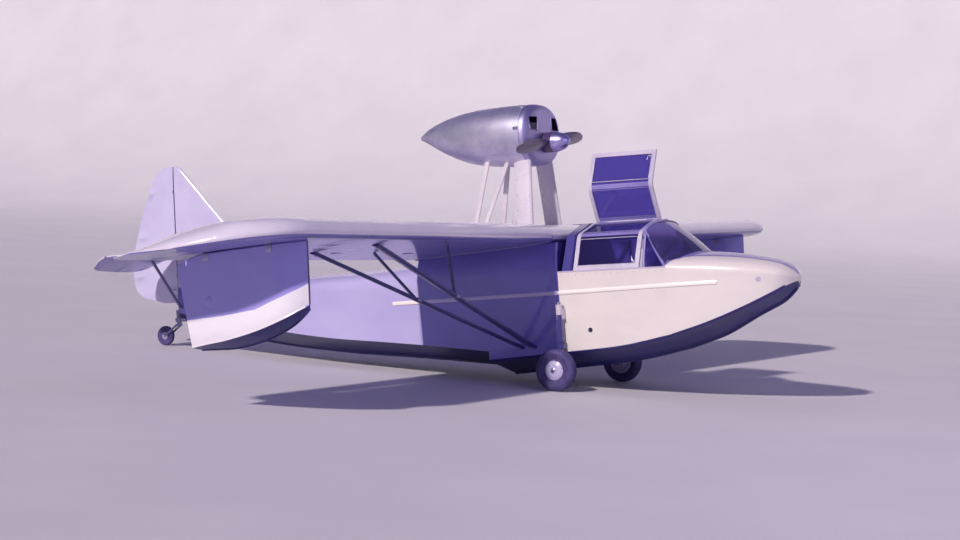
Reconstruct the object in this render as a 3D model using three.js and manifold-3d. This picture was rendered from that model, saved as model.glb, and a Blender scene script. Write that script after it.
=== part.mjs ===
// A two-seat homebuilt flying boat that also lands on wheels: a hard-chine wooden hull, a strut-braced
// high wing with a float under each tip, and one engine in a nacelle on a pylon above the cabin.
// Millimetres. The craft is drawn in its own datum frame, X forward, Y to port and Z up, with zero
// on the ground between the main wheels, and is then sat back on its tail wheel.
import * as THREE from 'three';
import { mergeVertices } from 'three/addons/utils/BufferGeometryUtils.js';
import Module from 'manifold-3d';

const wasm = await Module();
wasm.setup();

// Driving dimensions of the whole craft.
const TOUCH = 0.3; // gap between pieces that bear on each other
const PARK_ANGLE = THREE.MathUtils.degToRad(6.2); // nose up, on the tail wheel
const SEMI_SPAN = 5340;
const CHORD = 1452;
const INCIDENCE = THREE.MathUtils.degToRad(3.9);
const DIHEDRAL = THREE.MathUtils.degToRad(0.8);
const WING_LE_X = -26; // leading edge of the wing on the centreline
const WING_UNDER_Z = 1340; // flat underside of the wing, below its leading edge
const HULL_SIDE_Y = 550; // half the beam at the sheer
const SHEER_Z = 1062;
const BULKHEAD_X = 0; // between the cockpit and the mid hull
const STEP_X = -760;
const MID_END_X = -1470; // between the mid and the aft hull
const STERN_X = -4590;
const PANEL_X = 1050; // between the cockpit and the bow
const WHEEL_R = 190;
const WHEEL_Y = 711;
const TAIL_WHEEL_R = 100;
const TAIL_AXLE_X = -4800;
const ENGINE_Z = 2285; // crankshaft height

const finish = (color, roughness, metalness = 0) =>
  new THREE.MeshStandardMaterial({ color, roughness, metalness });
const cream = finish(0xf1ece2, 0.35);
const blue = finish(0x3f5fae, 0.35);
const paleGrey = finish(0xcdd2e6, 0.4);
const silver = finish(0xb9bec8, 0.35, 0.7);
const steel = finish(0x777b82, 0.4, 0.9);
const darkPaint = finish(0x23283c, 0.5);
const rubber = finish(0x1d1d1f, 0.85);
const clear = finish(0x8fa0c8, 0.1);
const vinyl = finish(0x4b3a34, 0.7);

// A closed geometry with its corners merged, its empty faces dropped and the rest turned out.
function closed(geometry) {
  geometry.deleteAttribute('normal');
  geometry.deleteAttribute('uv');
  const merged = mergeVertices(geometry, 1e-3);
  const place = merged.getAttribute('position');
  const kept = [];
  let volume = 0;
  const corner = [0, 1, 2].map(() => new THREE.Vector3());
  for (let i = 0; i < merged.index.count; i += 3) {
    const [a, b, c] = [0, 1, 2].map((k) => merged.index.getX(i + k));
    if (a === b || b === c || c === a) continue;
    kept.push(a, b, c);
    [a, b, c].forEach((v, k) => corner[k].fromBufferAttribute(place, v));
    volume += corner[0].dot(corner[1].clone().cross(corner[2]));
  }
  if (volume < 0) kept.reverse();
  merged.setIndex(kept);
  return merged;
}

// Triangles over a ring with hollows in its outline, in the ring's own order.
function ears(ring) {
  const spans = ['x', 'y', 'z'].map((axis) => {
    const values = ring.map((p) => p[axis]);
    return [Math.max(...values) - Math.min(...values), axis];
  });
  const [u, v] = spans.sort((a, b) => b[0] - a[0]).map(([, axis]) => axis);
  const flat = ring.map((p) => new THREE.Vector2(p[u], p[v]));
  const turn = Math.sign(THREE.ShapeUtils.area(flat));
  return THREE.ShapeUtils.triangulateShape(flat, []).map(([a, b, c]) => (
    Math.sign(THREE.ShapeUtils.area([flat[a], flat[b], flat[c]])) === turn ? [a, b, c] : [a, c, b]));
}

// A skin over rings of points, each ring with as many points as the next, capped at both ends. The caps
// are fans from the middle, or cut into ears where the rings have hollows. A thin sheet is matched: each
// four-sided facet folds along its shorter diagonal, so that the two skins fold alike.
function loft(rings, hollows = false, matched = false) {
  const count = rings[0].length;
  const points = rings.flat();
  const index = [];
  for (let ring = 0; ring + 1 < rings.length; ring += 1) {
    for (let k = 0; k < count; k += 1) {
      const a = ring * count + k;
      const b = ring * count + ((k + 1) % count);
      const folded = matched
        && points[a].distanceTo(points[b + count]) < points[b].distanceTo(points[a + count]);
      if (folded) index.push(a, b, b + count, a, b + count, a + count);
      else index.push(a, b, a + count, b, b + count, a + count);
    }
  }
  for (const [start, turn] of [[0, -1], [(rings.length - 1) * count, 1]]) {
    const ring = points.slice(start, start + count);
    let faces = [];
    if (hollows) {
      faces = ears(ring).map((face) => face.map((k) => start + k));
    } else {
      const middle = ring.reduce((sum, p) => sum.add(p), new THREE.Vector3()).divideScalar(count);
      const hub = points.push(middle) - 1;
      faces = ring.map((p, k) => [hub, start + k, start + ((k + 1) % count)]);
    }
    for (const face of faces) index.push(...(turn > 0 ? face : face.reverse()));
  }
  return closed(new THREE.BufferGeometry().setFromPoints(points).setIndex(index));
}

const at = (x, y, z) => new THREE.Vector3(x, y, z);

// Booleans: a geometry as a solid, and a solid as a geometry.
function solid(geometry) {
  const merged = closed(geometry.clone());
  return new wasm.Manifold(new wasm.Mesh({
    numProp: 3,
    vertProperties: new Float32Array(merged.attributes.position.array),
    triVerts: new Uint32Array(merged.index.array),
  }));
}

function shape(body) {
  const mesh = body.getMesh();
  const geometry = new THREE.BufferGeometry();
  geometry.setAttribute('position', new THREE.BufferAttribute(mesh.vertProperties, 3));
  geometry.setIndex(new THREE.BufferAttribute(mesh.triVerts, 1));
  return geometry;
}

const join = (...parts) => shape(parts.map(solid).reduce((sum, part) => sum.add(part)));
const cut = (part, ...tools) =>
  shape(tools.map(solid).reduce((left, tool) => left.subtract(tool), solid(part)));
const largest = (geometry) => shape(
  solid(geometry).decompose().reduce((a, b) => (a.volume() > b.volume() ? a : b)));
const moved = (geometry, x, y, z) => geometry.clone().translate(x, y, z);
const mirrored = (geometry) => closed(geometry.clone().scale(1, -1, 1));
// What trims a piece that has a twin: a neighbour joined with its own mirror image, because the
// facets of a loft are not quite alike on the two sides.
const evened = (geometry) => join(geometry, mirrored(geometry));

// Simple stock: a box between two corners, a round bar between two points, a turned profile.
function block(x0, x1, y0, y1, z0, z1) {
  const box = new THREE.BoxGeometry(x1 - x0, y1 - y0, z1 - z0);
  return box.translate((x0 + x1) / 2, (y0 + y1) / 2, (z0 + z1) / 2);
}

function bar(from, to, radius, sides = 12, endRadius = radius) {
  const length = from.distanceTo(to);
  const rod = new THREE.CylinderGeometry(endRadius, radius, length, sides);
  const turn = new THREE.Quaternion().setFromUnitVectors(
    at(0, 1, 0), to.clone().sub(from).normalize());
  rod.applyQuaternion(turn);
  return rod.translate(...from.clone().add(to).multiplyScalar(0.5).toArray());
}

// A profile of [radius, station] pairs turned about the Y axis.
const turned = (profile, sides) =>
  closed(new THREE.LatheGeometry(profile.map(([r, y]) => new THREE.Vector2(r, y)), sides));

// A plate with an outline in X and Z, between two Y values.
function plate(outline, y0, y1, hollows = false) {
  const ring = (y) => outline.map(([x, z]) => at(x, y, z));
  return loft([ring(y0), ring(y1)], hollows);
}

const craft = new THREE.Group();
craft.rotation.y = -PARK_ANGLE;
const halves = { port: new THREE.Group(), starboard: new THREE.Group() };
halves.starboard.scale.y = -1;
craft.add(halves.port, halves.starboard);

function add(name, geometry, material, parent = craft) {
  const mesh = new THREE.Mesh(geometry, material);
  mesh.name = name;
  parent.add(mesh);
  return mesh;
}

// A piece that has a twin on the other side of the craft, drawn on the port side.
function addPair(name, geometry, material) {
  for (const [side, half] of Object.entries(halves)) add(`${name}_${side}`, geometry, material, half);
}

// Height of the wing's flat underside at a point of the plan.
const underside = (x, y) =>
  WING_UNDER_Z + (x - WING_LE_X) * Math.tan(INCIDENCE) + Math.abs(y) * Math.tan(DIHEDRAL);

// Hull. Stations from stern to bow: x, keel z, chine z, chine y, sheer z, sheer y, crown z.
const AFT_HULL = [
  [STERN_X, 790, 850, 45, 960, 60, 1120],
  [-3600, 540, 690, 250, 1000, 265, 1145],
  [-2600, 395, 550, 395, 1035, 420, 1165],
  [-1950, 335, 492, 450, 1051, 491, 1190],
  [MID_END_X, 290, 449, 490, SHEER_Z, 543, 1236],
];
const MID_HULL = [
  [MID_END_X, 290, 449, 490, SHEER_Z, 543],
  [STEP_X, 215, 368, 505, SHEER_Z, 548],
  [STEP_X, 140, 280, 512, SHEER_Z, 548],
  [BULKHEAD_X, 190, 330, 512, SHEER_Z, HULL_SIDE_Y],
];
const COCKPIT = [
  [BULKHEAD_X, 190, 330, 512, SHEER_Z, HULL_SIDE_Y],
  [600, 245, 375, 505, SHEER_Z, 548],
  [PANEL_X, 330, 455, 480, SHEER_Z, 530],
];
const BOW = [
  [PANEL_X, 330, 455, 480, SHEER_Z, 530, 1197],
  [1400, 440, 560, 430, 1035, 480, 1177],
  [1720, 600, 685, 355, 1005, 405, 1129],
  [1960, 715, 800, 255, 965, 300, 1064],
  [2060, 800, 862, 150, 935, 190, 1000],
  [2105, 862, 888, 40, 918, 50, 945],
];
const MID_TOP_Y = 505; // half width of the mid hull where the wing lies on it
const DECK_STEPS = 6; // facets across the crowned deck

// The lower half of a section, from the starboard sheer round the keel to the port sheer.
const bottomRing = ([x, keelZ, chineZ, chineY, sheerZ, sheerY]) => [
  at(x, -sheerY, sheerZ), at(x, -chineY, chineZ), at(x, 0, keelZ), at(x, chineY, chineZ),
  at(x, sheerY, sheerZ),
];

function crownedRing(station) {
  const [x, , , , sheerZ, sheerY, crownZ] = station;
  const deck = [];
  for (let step = 1; step < DECK_STEPS; step += 1) {
    const angle = (Math.PI * step) / DECK_STEPS;
    deck.push(at(x, sheerY * Math.cos(angle), sheerZ + (crownZ - sheerZ) * Math.sin(angle)));
  }
  return [...bottomRing(station), ...deck];
}

const shifted = (stations, from, to) => stations.map((row, i) => {
  const nudge = (i === 0 ? from : 0) + (i === stations.length - 1 ? to : 0);
  return [row[0] + nudge, ...row.slice(1)];
});

const aftHull = loft(shifted(AFT_HULL, 0, -TOUCH).map(crownedRing));
add('hull_aft', aftHull, paleGrey);

const midHull = loft(MID_HULL.map((row) => [
  ...bottomRing(row),
  at(row[0], MID_TOP_Y, underside(row[0], 0) - TOUCH),
  at(row[0], -MID_TOP_Y, underside(row[0], 0) - TOUCH),
]));
add('hull_mid', midHull, blue);

// The cockpit is open above the sheer and in front, where the footwell runs on into the bow.
const FLOOR_Z = 430;
const WELL_Y = 508; // inside half width at the sheer
const FLOOR_Y = 440;
const WELL_AFT_X = 32;
const wellRing = (x, floorZ, floorY, topZ, topY) => [
  at(x, -topY, topZ), at(x, -floorY, floorZ), at(x, floorY, floorZ), at(x, topY, topZ),
];
const cockpit = cut(
  loft(shifted(COCKPIT, TOUCH, -TOUCH).map(bottomRing)),
  loft([wellRing(WELL_AFT_X, FLOOR_Z, FLOOR_Y, SHEER_Z + 50, WELL_Y + 4),
    wellRing(PANEL_X + 10, FLOOR_Z + 70, FLOOR_Y - 15, SHEER_Z + 50, WELL_Y - 14)]),
);
add('hull_cockpit', cockpit, cream);

const FOOTWELL_X = 1640;
const bow = cut(
  loft(BOW.map(crownedRing)),
  loft([wellRing(PANEL_X - 10, 535, 400, 930, 430), wellRing(FOOTWELL_X, 690, 270, 900, 290)]),
);
add('hull_bow', bow, cream);

// Cabin. The hatches and the rear bulkhead share one section: roof centre, roof corner, sill.
const HINGE_Y = 36;
const HINGE_Z = 1506;
const CORNER_Y = 385;
const CORNER_Z = 1400;
const SILL_Y = 512;
const SILL_Z = SHEER_Z + 14;
const FRAME_T = 18; // thickness of hatch frames and roof members
const HATCH_AFT_X = 140;
const HATCH_FWD_X = 788;
const BARREL_R = 6;
const BARRELS = [[200, 260], [680, 740]]; // hinge barrels on the roof beam, from x to x

const bulkheadSection = [
  [-HULL_SIDE_Y + 12, SHEER_Z + TOUCH], [HULL_SIDE_Y - 12, SHEER_Z + TOUCH],
  [CORNER_Y, CORNER_Z], [60, HINGE_Z], [-60, HINGE_Z], [-CORNER_Y, CORNER_Z],
];
const section = (points, x) => points.map(([y, z]) => at(x, y, z));
const bulkhead = loft([section(bulkheadSection, 32), section(bulkheadSection, 124)]);
add('cabin_bulkhead', bulkhead, blue);

// Windscreen: a base line curved over the foredeck and a top line under the front of the roof.
const SCREEN_BASE = { sideX: 1036, midX: 1235, sideY: 486, sideZ: 1070, midZ: 1194 };
const SCREEN_TOP = { sideX: 806, midX: 850, sideY: CORNER_Y - 8, sideZ: CORNER_Z - 6, midZ: 1492 };
const SCREEN_STEPS = 8;
const SCREEN_T = 5;
const GLASS_REACH = { base: 0.93, top: 0.83, below: 0.045 }; // the glass stops short of the frame's bars

const arcPoint = (line, t) => at(
  line.sideX + (line.midX - line.sideX) * Math.cos((t * Math.PI) / 2),
  line.sideY * Math.sin((t * Math.PI) / 2),
  line.sideZ + (line.midZ - line.sideZ) * Math.cos((t * Math.PI) / 2),
);

const screenRings = [];
for (let step = 0; step <= SCREEN_STEPS; step += 1) {
  const t = -1 + (2 * step) / SCREEN_STEPS;
  const base = arcPoint(SCREEN_BASE, t * GLASS_REACH.base);
  const top = arcPoint(SCREEN_TOP, t * GLASS_REACH.top).lerp(base, GLASS_REACH.below);
  base.z -= 40; // runs into the deck, which trims it
  const inward = at(-SCREEN_T, -Math.sign(t) * Math.abs(t) * SCREEN_T, 0);
  screenRings.push([base, top, top.clone().add(inward), base.clone().add(inward)]);
}

// Bars of the fixed cabin frame. grow makes them fatter, to trim the glass clear of them.
function cabinFrame(grow) {
  const half = FRAME_T / 2 + grow;
  const run = (a, b) => bar(a, b, half * 1.25, 8);
  const parts = [block(130 - grow, 856 + grow, -30 - grow, 30 + grow, HINGE_Z - 34 - grow, HINGE_Z + grow)];
  const arc = (line) => {
    for (let step = 0; step < SCREEN_STEPS; step += 1) {
      const [a, b] = [step, step + 1].map((k) => arcPoint(line, -1 + (2 * k) / SCREEN_STEPS));
      parts.push(run(a, b));
    }
  };
  arc(SCREEN_TOP);
  for (const side of [-1, 1]) {
    const corner = at(SCREEN_TOP.sideX + 8, side * SCREEN_TOP.sideY, SCREEN_TOP.sideZ);
    parts.push(run(corner, arcPoint(SCREEN_BASE, side)));
    parts.push(run(corner, at(826, side * (SILL_Y - 4), SHEER_Z - 20)));
    for (const [from, to] of BARRELS) {
      const axisY = side * HINGE_Y;
      parts.push(bar(at(from, axisY, HINGE_Z), at(to, axisY, HINGE_Z), BARREL_R + grow, 10));
      const [inner, outer] = [side * 28, side * HINGE_Y].sort((a, b) => a - b);
      parts.push(block(from, to, inner, outer, HINGE_Z - 6, HINGE_Z));
    }
  }
  return join(...parts);
}

const hullTrim = [cockpit, bow].map((piece) => moved(evened(piece), -TOUCH, 0, TOUCH));
add('cabin_frame', cut(cabinFrame(0), ...hullTrim, bulkhead), blue);
const fatFrame = evened(cabinFrame(TOUCH));
add('windscreen', largest(cut(loft(screenRings, false, true), ...hullTrim)), clear);

// Quarter windows behind the windscreen pillars.
const quarterFace = [at(846, 506, SHEER_Z + 4), at(1050, 484, SHEER_Z + 4), at(812, 384, 1392)];
const paneOffset = at(0, -4, 0);
addPair('quarter_window', largest(cut(
  loft([quarterFace, quarterFace.map((p) => p.clone().add(paneOffset))]),
  ...hullTrim, fatFrame,
)), clear);

// Hatches, each a bent frame hinged on the roof beam, with a pane in the roof and one in the side.
// The profile runs along the hinge, the roof corner and the sill; depth is measured inwards.
const HATCH_FRAME_W = 38;
const PANE_T = 5;
const WINDOW_REACH = 30; // how far a window's cutter stands out of the frame, to each side
const roofSlope = Math.atan2(HINGE_Z - CORNER_Z, CORNER_Y - HINGE_Y);
const HATCH_EDGE = [
  [HINGE_Y, HINGE_Z], [CORNER_Y, CORNER_Z], [SILL_Y, SILL_Z],
];

function hatchShell(x0, x1, outer, inner) {
  const inset = (depth) => {
    const [hinge, corner, sill] = HATCH_EDGE;
    return [
      [hinge[0], hinge[1] - depth], [corner[0] - depth * 0.85, corner[1] - depth],
      [sill[0] - depth, sill[1]],
    ];
  };
  const ring = (x) => section([...inset(outer), ...inset(inner).reverse()], x);
  return loft([ring(x0), ring(x1)], true);
}

// The two window openings of a hatch, shrunk on every side by gap.
function hatchWindows(gap) {
  const x0 = HATCH_AFT_X + HATCH_FRAME_W + gap;
  const x1 = HATCH_FWD_X - HATCH_FRAME_W - gap;
  const [hinge, corner, sill] = HATCH_EDGE;
  const along = (a, b, near, far) => {
    const run = at(0, b[0] - a[0], b[1] - a[1]);
    const unit = run.clone().normalize();
    const normal = at(0, -unit.z, unit.y);
    const start = at(0, ...a).addScaledVector(unit, near + gap);
    const end = at(0, ...b).addScaledVector(unit, -far - gap);
    const ring = (x) => [start, end, end, start].map((p, k) =>
      p.clone().addScaledVector(normal, (k < 2 ? 1 : -1) * (WINDOW_REACH - gap)).setX(x));
    return loft([ring(x0), ring(x1)]);
  };
  return join(
    along(hinge, corner, HATCH_FRAME_W, HATCH_FRAME_W * 0.6),
    along(corner, sill, HATCH_FRAME_W * 0.6, HATCH_FRAME_W),
  );
}

const hatchBarrelRoom = BARRELS.map(([from, to]) => bar(
  at(from - 4, HINGE_Y, HINGE_Z), at(to + 4, HINGE_Y, HINGE_Z), BARREL_R + 0.7, 16));
const hatchFrame = cut(
  hatchShell(HATCH_AFT_X, HATCH_FWD_X, 0, FRAME_T), hatchWindows(0), ...hatchBarrelRoom);
const hatchPanes = shape(
  solid(hatchShell(HATCH_AFT_X, HATCH_FWD_X, 6, 6 + PANE_T)).intersect(solid(hatchWindows(TOUCH))));

const HATCH_OPEN = THREE.MathUtils.degToRad(134); // the port hatch stands thrown over its hinge
for (const [side, open] of [['port', HATCH_OPEN], ['starboard', 0]]) {
  const hinge = new THREE.Group();
  hinge.position.set(0, HINGE_Y, HINGE_Z);
  hinge.rotation.x = open;
  halves[side].add(hinge);
  add(`hatch_frame_${side}`, moved(hatchFrame, 0, -HINGE_Y, -HINGE_Z), cream, hinge);
  solid(hatchPanes).decompose().map(shape).forEach((pane, k) => {
    pane.computeBoundingBox();
    const place = pane.boundingBox.max.y > CORNER_Y + 10 ? 'side' : 'roof';
    add(`hatch_${place}_pane_${side}`, moved(pane, 0, -HINGE_Y, -HINGE_Z), clear, hinge);
  });
}

// Cockpit fittings: panel, control yoke, pedals, and two seats on a wooden box.
const panelSection = [[-455, 905], [455, 905], [455, 1055], [300, 1105], [0, 1135], [-300, 1105], [-455, 1055]];
const panel = loft([section(panelSection, PANEL_X - 22), section(panelSection, PANEL_X - TOUCH)]);
add('instrument_panel', cut(panel, moved(cockpit, 0, 0, TOUCH), fatFrame), darkPaint);

const YOKE_Z = 985;
const yokeParts = [bar(at(880, 0, YOKE_Z), at(PANEL_X - 22 - TOUCH, 0, YOKE_Z), 14)];
for (const y of [-230, 230]) {
  yokeParts.push(bar(at(900, 0, YOKE_Z), at(880, y, YOKE_Z), 11));
  yokeParts.push(bar(at(880, y - 110, YOKE_Z + 30), at(880, y, YOKE_Z), 11));
  yokeParts.push(bar(at(880, y + 110, YOKE_Z + 30), at(880, y, YOKE_Z), 11));
  yokeParts.push(bar(at(880, y - 110, YOKE_Z + 110), at(880, y - 110, YOKE_Z + 24), 13));
  yokeParts.push(bar(at(880, y + 110, YOKE_Z + 110), at(880, y + 110, YOKE_Z + 24), 13));
}
add('control_yoke', join(...yokeParts), darkPaint);

const PEDAL_X = 1480;
const pedalParts = [bar(at(PEDAL_X, -255, 770), at(PEDAL_X, 255, 770), 10)];
for (const y of [-230, -110, 110, 230]) {
  pedalParts.push(block(PEDAL_X - 8, PEDAL_X + 8, y - 40, y + 40, 660, 765));
}
for (const y of [-170, 170]) pedalParts.push(bar(at(PEDAL_X, y, 772), at(PEDAL_X, y, 985), 8));
add('rudder_pedals', cut(join(...pedalParts), moved(bow, 0, 0, -TOUCH)), steel);

const SEAT_TOP = 640;
add('seat_box', plate([
  [WELL_AFT_X + TOUCH, FLOOR_Z + 6], [500, FLOOR_Z + 42], [540, SEAT_TOP], [WELL_AFT_X + TOUCH, SEAT_TOP - 30],
], -425, 425), vinyl);
const seatOutline = [
  [560, SEAT_TOP + 4], [120, SEAT_TOP - 24], [66, SEAT_TOP + 10], [44, 1040], [120, 1054], [190, 740], [540, 735],
];
const seat = plate(seatOutline, 12, 408, true);
addPair('seat', seat, vinyl);

// Hinge knuckles of the moving surfaces: a barrel on the hinge line, on a web from the fixed part,
// and the room that the moving part leaves round it.
const SURFACE_GAP = 16; // between a moving surface and what it is hung on
const KNUCKLE_R = 7;
const KNUCKLE_HALF = 12;
const KNUCKLE_ROOM = 0.7;
const alongAxis = (axis, length) => axis.clone().multiplyScalar(length);

function knuckle(point, axis) {
  const ends = [-1, 1].map((side) => point.clone().add(alongAxis(axis, side * KNUCKLE_HALF)));
  const web = axis.z ? [5, KNUCKLE_HALF] : [KNUCKLE_HALF, 5];
  return join(
    bar(...ends, KNUCKLE_R, 12),
    moved(block(0, SURFACE_GAP + 20, -web[0], web[0], -web[1], web[1]), ...point.toArray()),
  );
}

function knuckleRoom(point, axis) {
  const reach = KNUCKLE_HALF + 4;
  const ends = [-1, 1].map((side) => point.clone().add(alongAxis(axis, side * reach)));
  return bar(...ends, (KNUCKLE_R + KNUCKLE_ROOM) / Math.cos(Math.PI / 16), 16);
}

// Wing. The section is flat underneath from the nose to the trailing edge; fractions of the chord.
const SECTION_UPPER = [
  [0, 0.036], [0.012, 0.067], [0.05, 0.098], [0.15, 0.128], [0.3, 0.135], [0.5, 0.117], [0.75, 0.067], [1, 0.006],
];
const SECTION_LOWER = [[1, 0], [0.82, 0], [0.1, 0], [0.02, 0.01]];
const AILERON_FROM = 0.8; // hinge line, fraction of the chord
const AILERON_SPAN = [2900, 4800];
const ROOT_Y = 556;

function wingRing(y, noseX, chord) {
  return [...SECTION_UPPER, ...SECTION_LOWER].map(([f, h]) => at(
    WING_LE_X - noseX - f * chord, y, h * chord * Math.min(1, chord / CHORD + 0.15)));
}

// The tip is a quarter of an ellipse at the nose and a tighter one at the trailing edge.
const TIP_FROM = 4560;
const TIP_NOSE = 880;
const TIP_TAIL = 330;
const tipRings = [0.35, 0.6, 0.8, 0.93, 1].map((s) => {
  const fall = 1 - Math.sqrt(1 - (s * 0.992) ** 2);
  const tailFall = s < 0.5 ? 0 : 1 - Math.sqrt(1 - (((s - 0.5) / 0.5) * 0.985) ** 2);
  return wingRing(TIP_FROM + s * (SEMI_SPAN - TIP_FROM), TIP_NOSE * fall,
    CHORD - TIP_NOSE * fall - TIP_TAIL * tailFall);
});

// Puts geometry drawn on a level wing at its incidence and dihedral.
function rigged(geometry) {
  const rig = new THREE.Matrix4().set(
    1, 0, 0, 0,
    0, 1, 0, 0,
    Math.tan(INCIDENCE), Math.tan(DIHEDRAL), 1, WING_UNDER_Z - WING_LE_X * Math.tan(INCIDENCE),
    0, 0, 0, 1,
  );
  return geometry.clone().applyMatrix4(rig);
}

const hingeX = WING_LE_X - AILERON_FROM * CHORD;
const levelPanel = loft([wingRing(ROOT_Y, 0, CHORD), wingRing(TIP_FROM, 0, CHORD), ...tipRings]);
const [ailIn, ailOut] = AILERON_SPAN;
const aileronBay = block(-2000, hingeX, ailIn, ailOut, -60, 200);
const aileronStock = block(-2000, hingeX - SURFACE_GAP, ailIn + 8, ailOut - 8, -60, 200);
const HINGE_HEIGHT = 0.026 * CHORD;
const aileronHinges = [0.15, 0.5, 0.85].map((f) =>
  at(hingeX - SURFACE_GAP, ailIn + f * (ailOut - ailIn), HINGE_HEIGHT));
const spanwise = at(0, 1, 0);
const aileron = cut(
  shape(solid(levelPanel).intersect(solid(aileronStock))),
  ...aileronHinges.map((point) => knuckleRoom(point, spanwise)),
);
const wingPanel = join(
  cut(levelPanel, aileronBay), ...aileronHinges.map((point) => knuckle(point, spanwise)));
addPair('wing', rigged(wingPanel), cream);
addPair('aileron', rigged(aileron), cream);

const centreRing = (y) => wingRing(y, 0, CHORD).map((p) => p.setZ(p.z + underside(p.x, 0)));
const wingCentre = loft([centreRing(-ROOT_Y + 4), centreRing(ROOT_Y - 4)]);
add('wing_centre', wingCentre, cream);

// A streamlined strut whose ends lie in given planes, each a point and a normal.
function strut(from, to, chord, thickness, fromNormal, toNormal) {
  const run = to.clone().sub(from).normalize();
  const across = at(1, 0, 0).cross(run).normalize();
  const outline = [
    [0.5, 0], [0.3, 0.42], [0, 0.5], [-0.3, 0.3], [-0.5, 0.04], [-0.5, -0.04], [-0.3, -0.3], [0, -0.5],
    [0.3, -0.42],
  ];
  const ring = (end, normal) => outline.map(([f, h]) => {
    const p = end.clone().add(at(f * chord, 0, 0)).addScaledVector(across, h * thickness);
    const slide = end.clone().sub(p).dot(normal) / run.dot(normal);
    return p.addScaledVector(run, slide);
  });
  return loft([ring(from, fromNormal), ring(to, toNormal)]);
}

const wingNormal = at(-Math.tan(INCIDENCE), -Math.tan(DIHEDRAL), 1).normalize();
const under = (x, y) => at(x, y, underside(x, y) - TOUCH);
const up = at(0, 0, 1);
const out = at(0, 1, 0);

// Lift struts, a vee from the chine to the two spars, each with a jury strut halfway. Each row gives the
// foot's x, the top's x and y, the chord, and how far outboard the jury strut leans.
const LIFT_STRUTS = [
  ['front', -300, -380, 3090, 84, 20],
  ['rear', -420, -960, 3130, 70, 260],
];
const STRUT_FOOT = { y: 522, z: 400 };
const JURY_AT = 0.53;
const hullSides = [[midHull, TOUCH], [cockpit, -TOUCH]].map(([piece, x]) => moved(evened(piece), x, TOUCH, 0));
for (const [name, footX, topX, topY, chord, juryLean] of LIFT_STRUTS) {
  const foot = at(footX, STRUT_FOOT.y - 30, STRUT_FOOT.z - 12);
  const head = under(topX, topY);
  const main = strut(foot, head, chord, 30, out, wingNormal);
  const middle = foot.clone().lerp(head, JURY_AT);
  const jury = strut(middle, under(topX, middle.y + juryLean), 34, 16, up, wingNormal);
  addPair(`lift_strut_${name}`, cut(join(main, jury), ...hullSides), blue);
}

// Tip floats hang flat against the wing, and their decks fall away aft to leave the aileron its room.
// Stations: top x, bottom x, half beam, chine z, keel z, fall of the deck below the wing.
const FLOAT_Y = 4430;
const FLOAT_STATIONS = [
  [-1290, -1180, 135, 614, 590, 62],
  [-1080, -1010, 150, 640, 591, 2],
  [-920, -860, 160, 660, 594, 0],
  [-600, -560, 155, 728, 650, 0],
  [-330, -320, 118, 815, 752, 0],
  [-215, -225, 62, 868, 820, 0],
  [-165, -170, 14, 900, 870, 0],
];
const floatRings = FLOAT_STATIONS.map(([topX, x, half, chineZ, keelZ, fall]) => {
  const deck = (y) => under(topX, y).setZ(underside(topX, y) - TOUCH - fall);
  return [
    at(x, FLOAT_Y, keelZ), at(x, FLOAT_Y + half, chineZ), deck(FLOAT_Y + half), deck(FLOAT_Y - half),
    at(x, FLOAT_Y - half, chineZ),
  ];
});
addPair('tip_float', loft(floatRings), blue);

// Tail surfaces. A fixed part runs from the nose to the hinge, a moving part from there aft.
// Stations along the span: span, nose x, hinge x, trailing edge x, thickness.
const HINGE_X = STERN_X - 4;
const fixedOutline = (nose, hinge, t) => {
  const c = nose - hinge;
  return [[nose, 0], [nose - 0.05 * c, 0.28 * t], [nose - 0.3 * c, 0.48 * t], [hinge, 0.5 * t],
    [hinge, -0.5 * t], [nose - 0.3 * c, -0.48 * t], [nose - 0.05 * c, -0.28 * t]];
};
const movingOutline = (hinge, tail, t) => [
  [hinge, 0.5 * t], [(hinge + tail) / 2, 0.36 * t], [tail, 3], [tail, -3], [(hinge + tail) / 2, -0.36 * t],
  [hinge, -0.5 * t],
];

const FIN = [
  [1080, -3400, 46], [1760, -4010, 44], [2190, -4395, 40], [2310, -4505, 34], [2352, -4562, 22],
];
const RUDDER = [
  [955, -4790, 26], [978, -4960, 38], [1035, -5085, 44], [1107, -5145, 46], [1264, -5172, 46],
  [1450, -5152, 46], [1624, -5108, 45], [1807, -5047, 43], [2030, -4957, 40], [2200, -4880, 36],
  [2295, -4812, 31], [2345, -4725, 22],
];
const finStock = loft(FIN.map(([z, nose, t]) =>
  fixedOutline(nose, HINGE_X, t).map(([x, y]) => at(x, y, z))));
const hullTop = moved(aftHull, -TOUCH, 0, TOUCH);
const rudderHingeX = HINGE_X - SURFACE_GAP;
const rudderHinges = [1240, 1640, 2090].map((z) => at(rudderHingeX, 0, z));
const upright = at(0, 0, 1);
const fin = join(cut(finStock, hullTop), ...rudderHinges.map((point) => knuckle(point, upright)));
add('fin', fin, paleGrey);
const rudder = loft(RUDDER.map(([z, tail, t]) =>
  movingOutline(rudderHingeX, tail, t).map(([x, y]) => at(x, y, z))));
add('rudder', cut(rudder, ...rudderHinges.map((point) => knuckleRoom(point, upright))), paleGrey);

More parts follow.
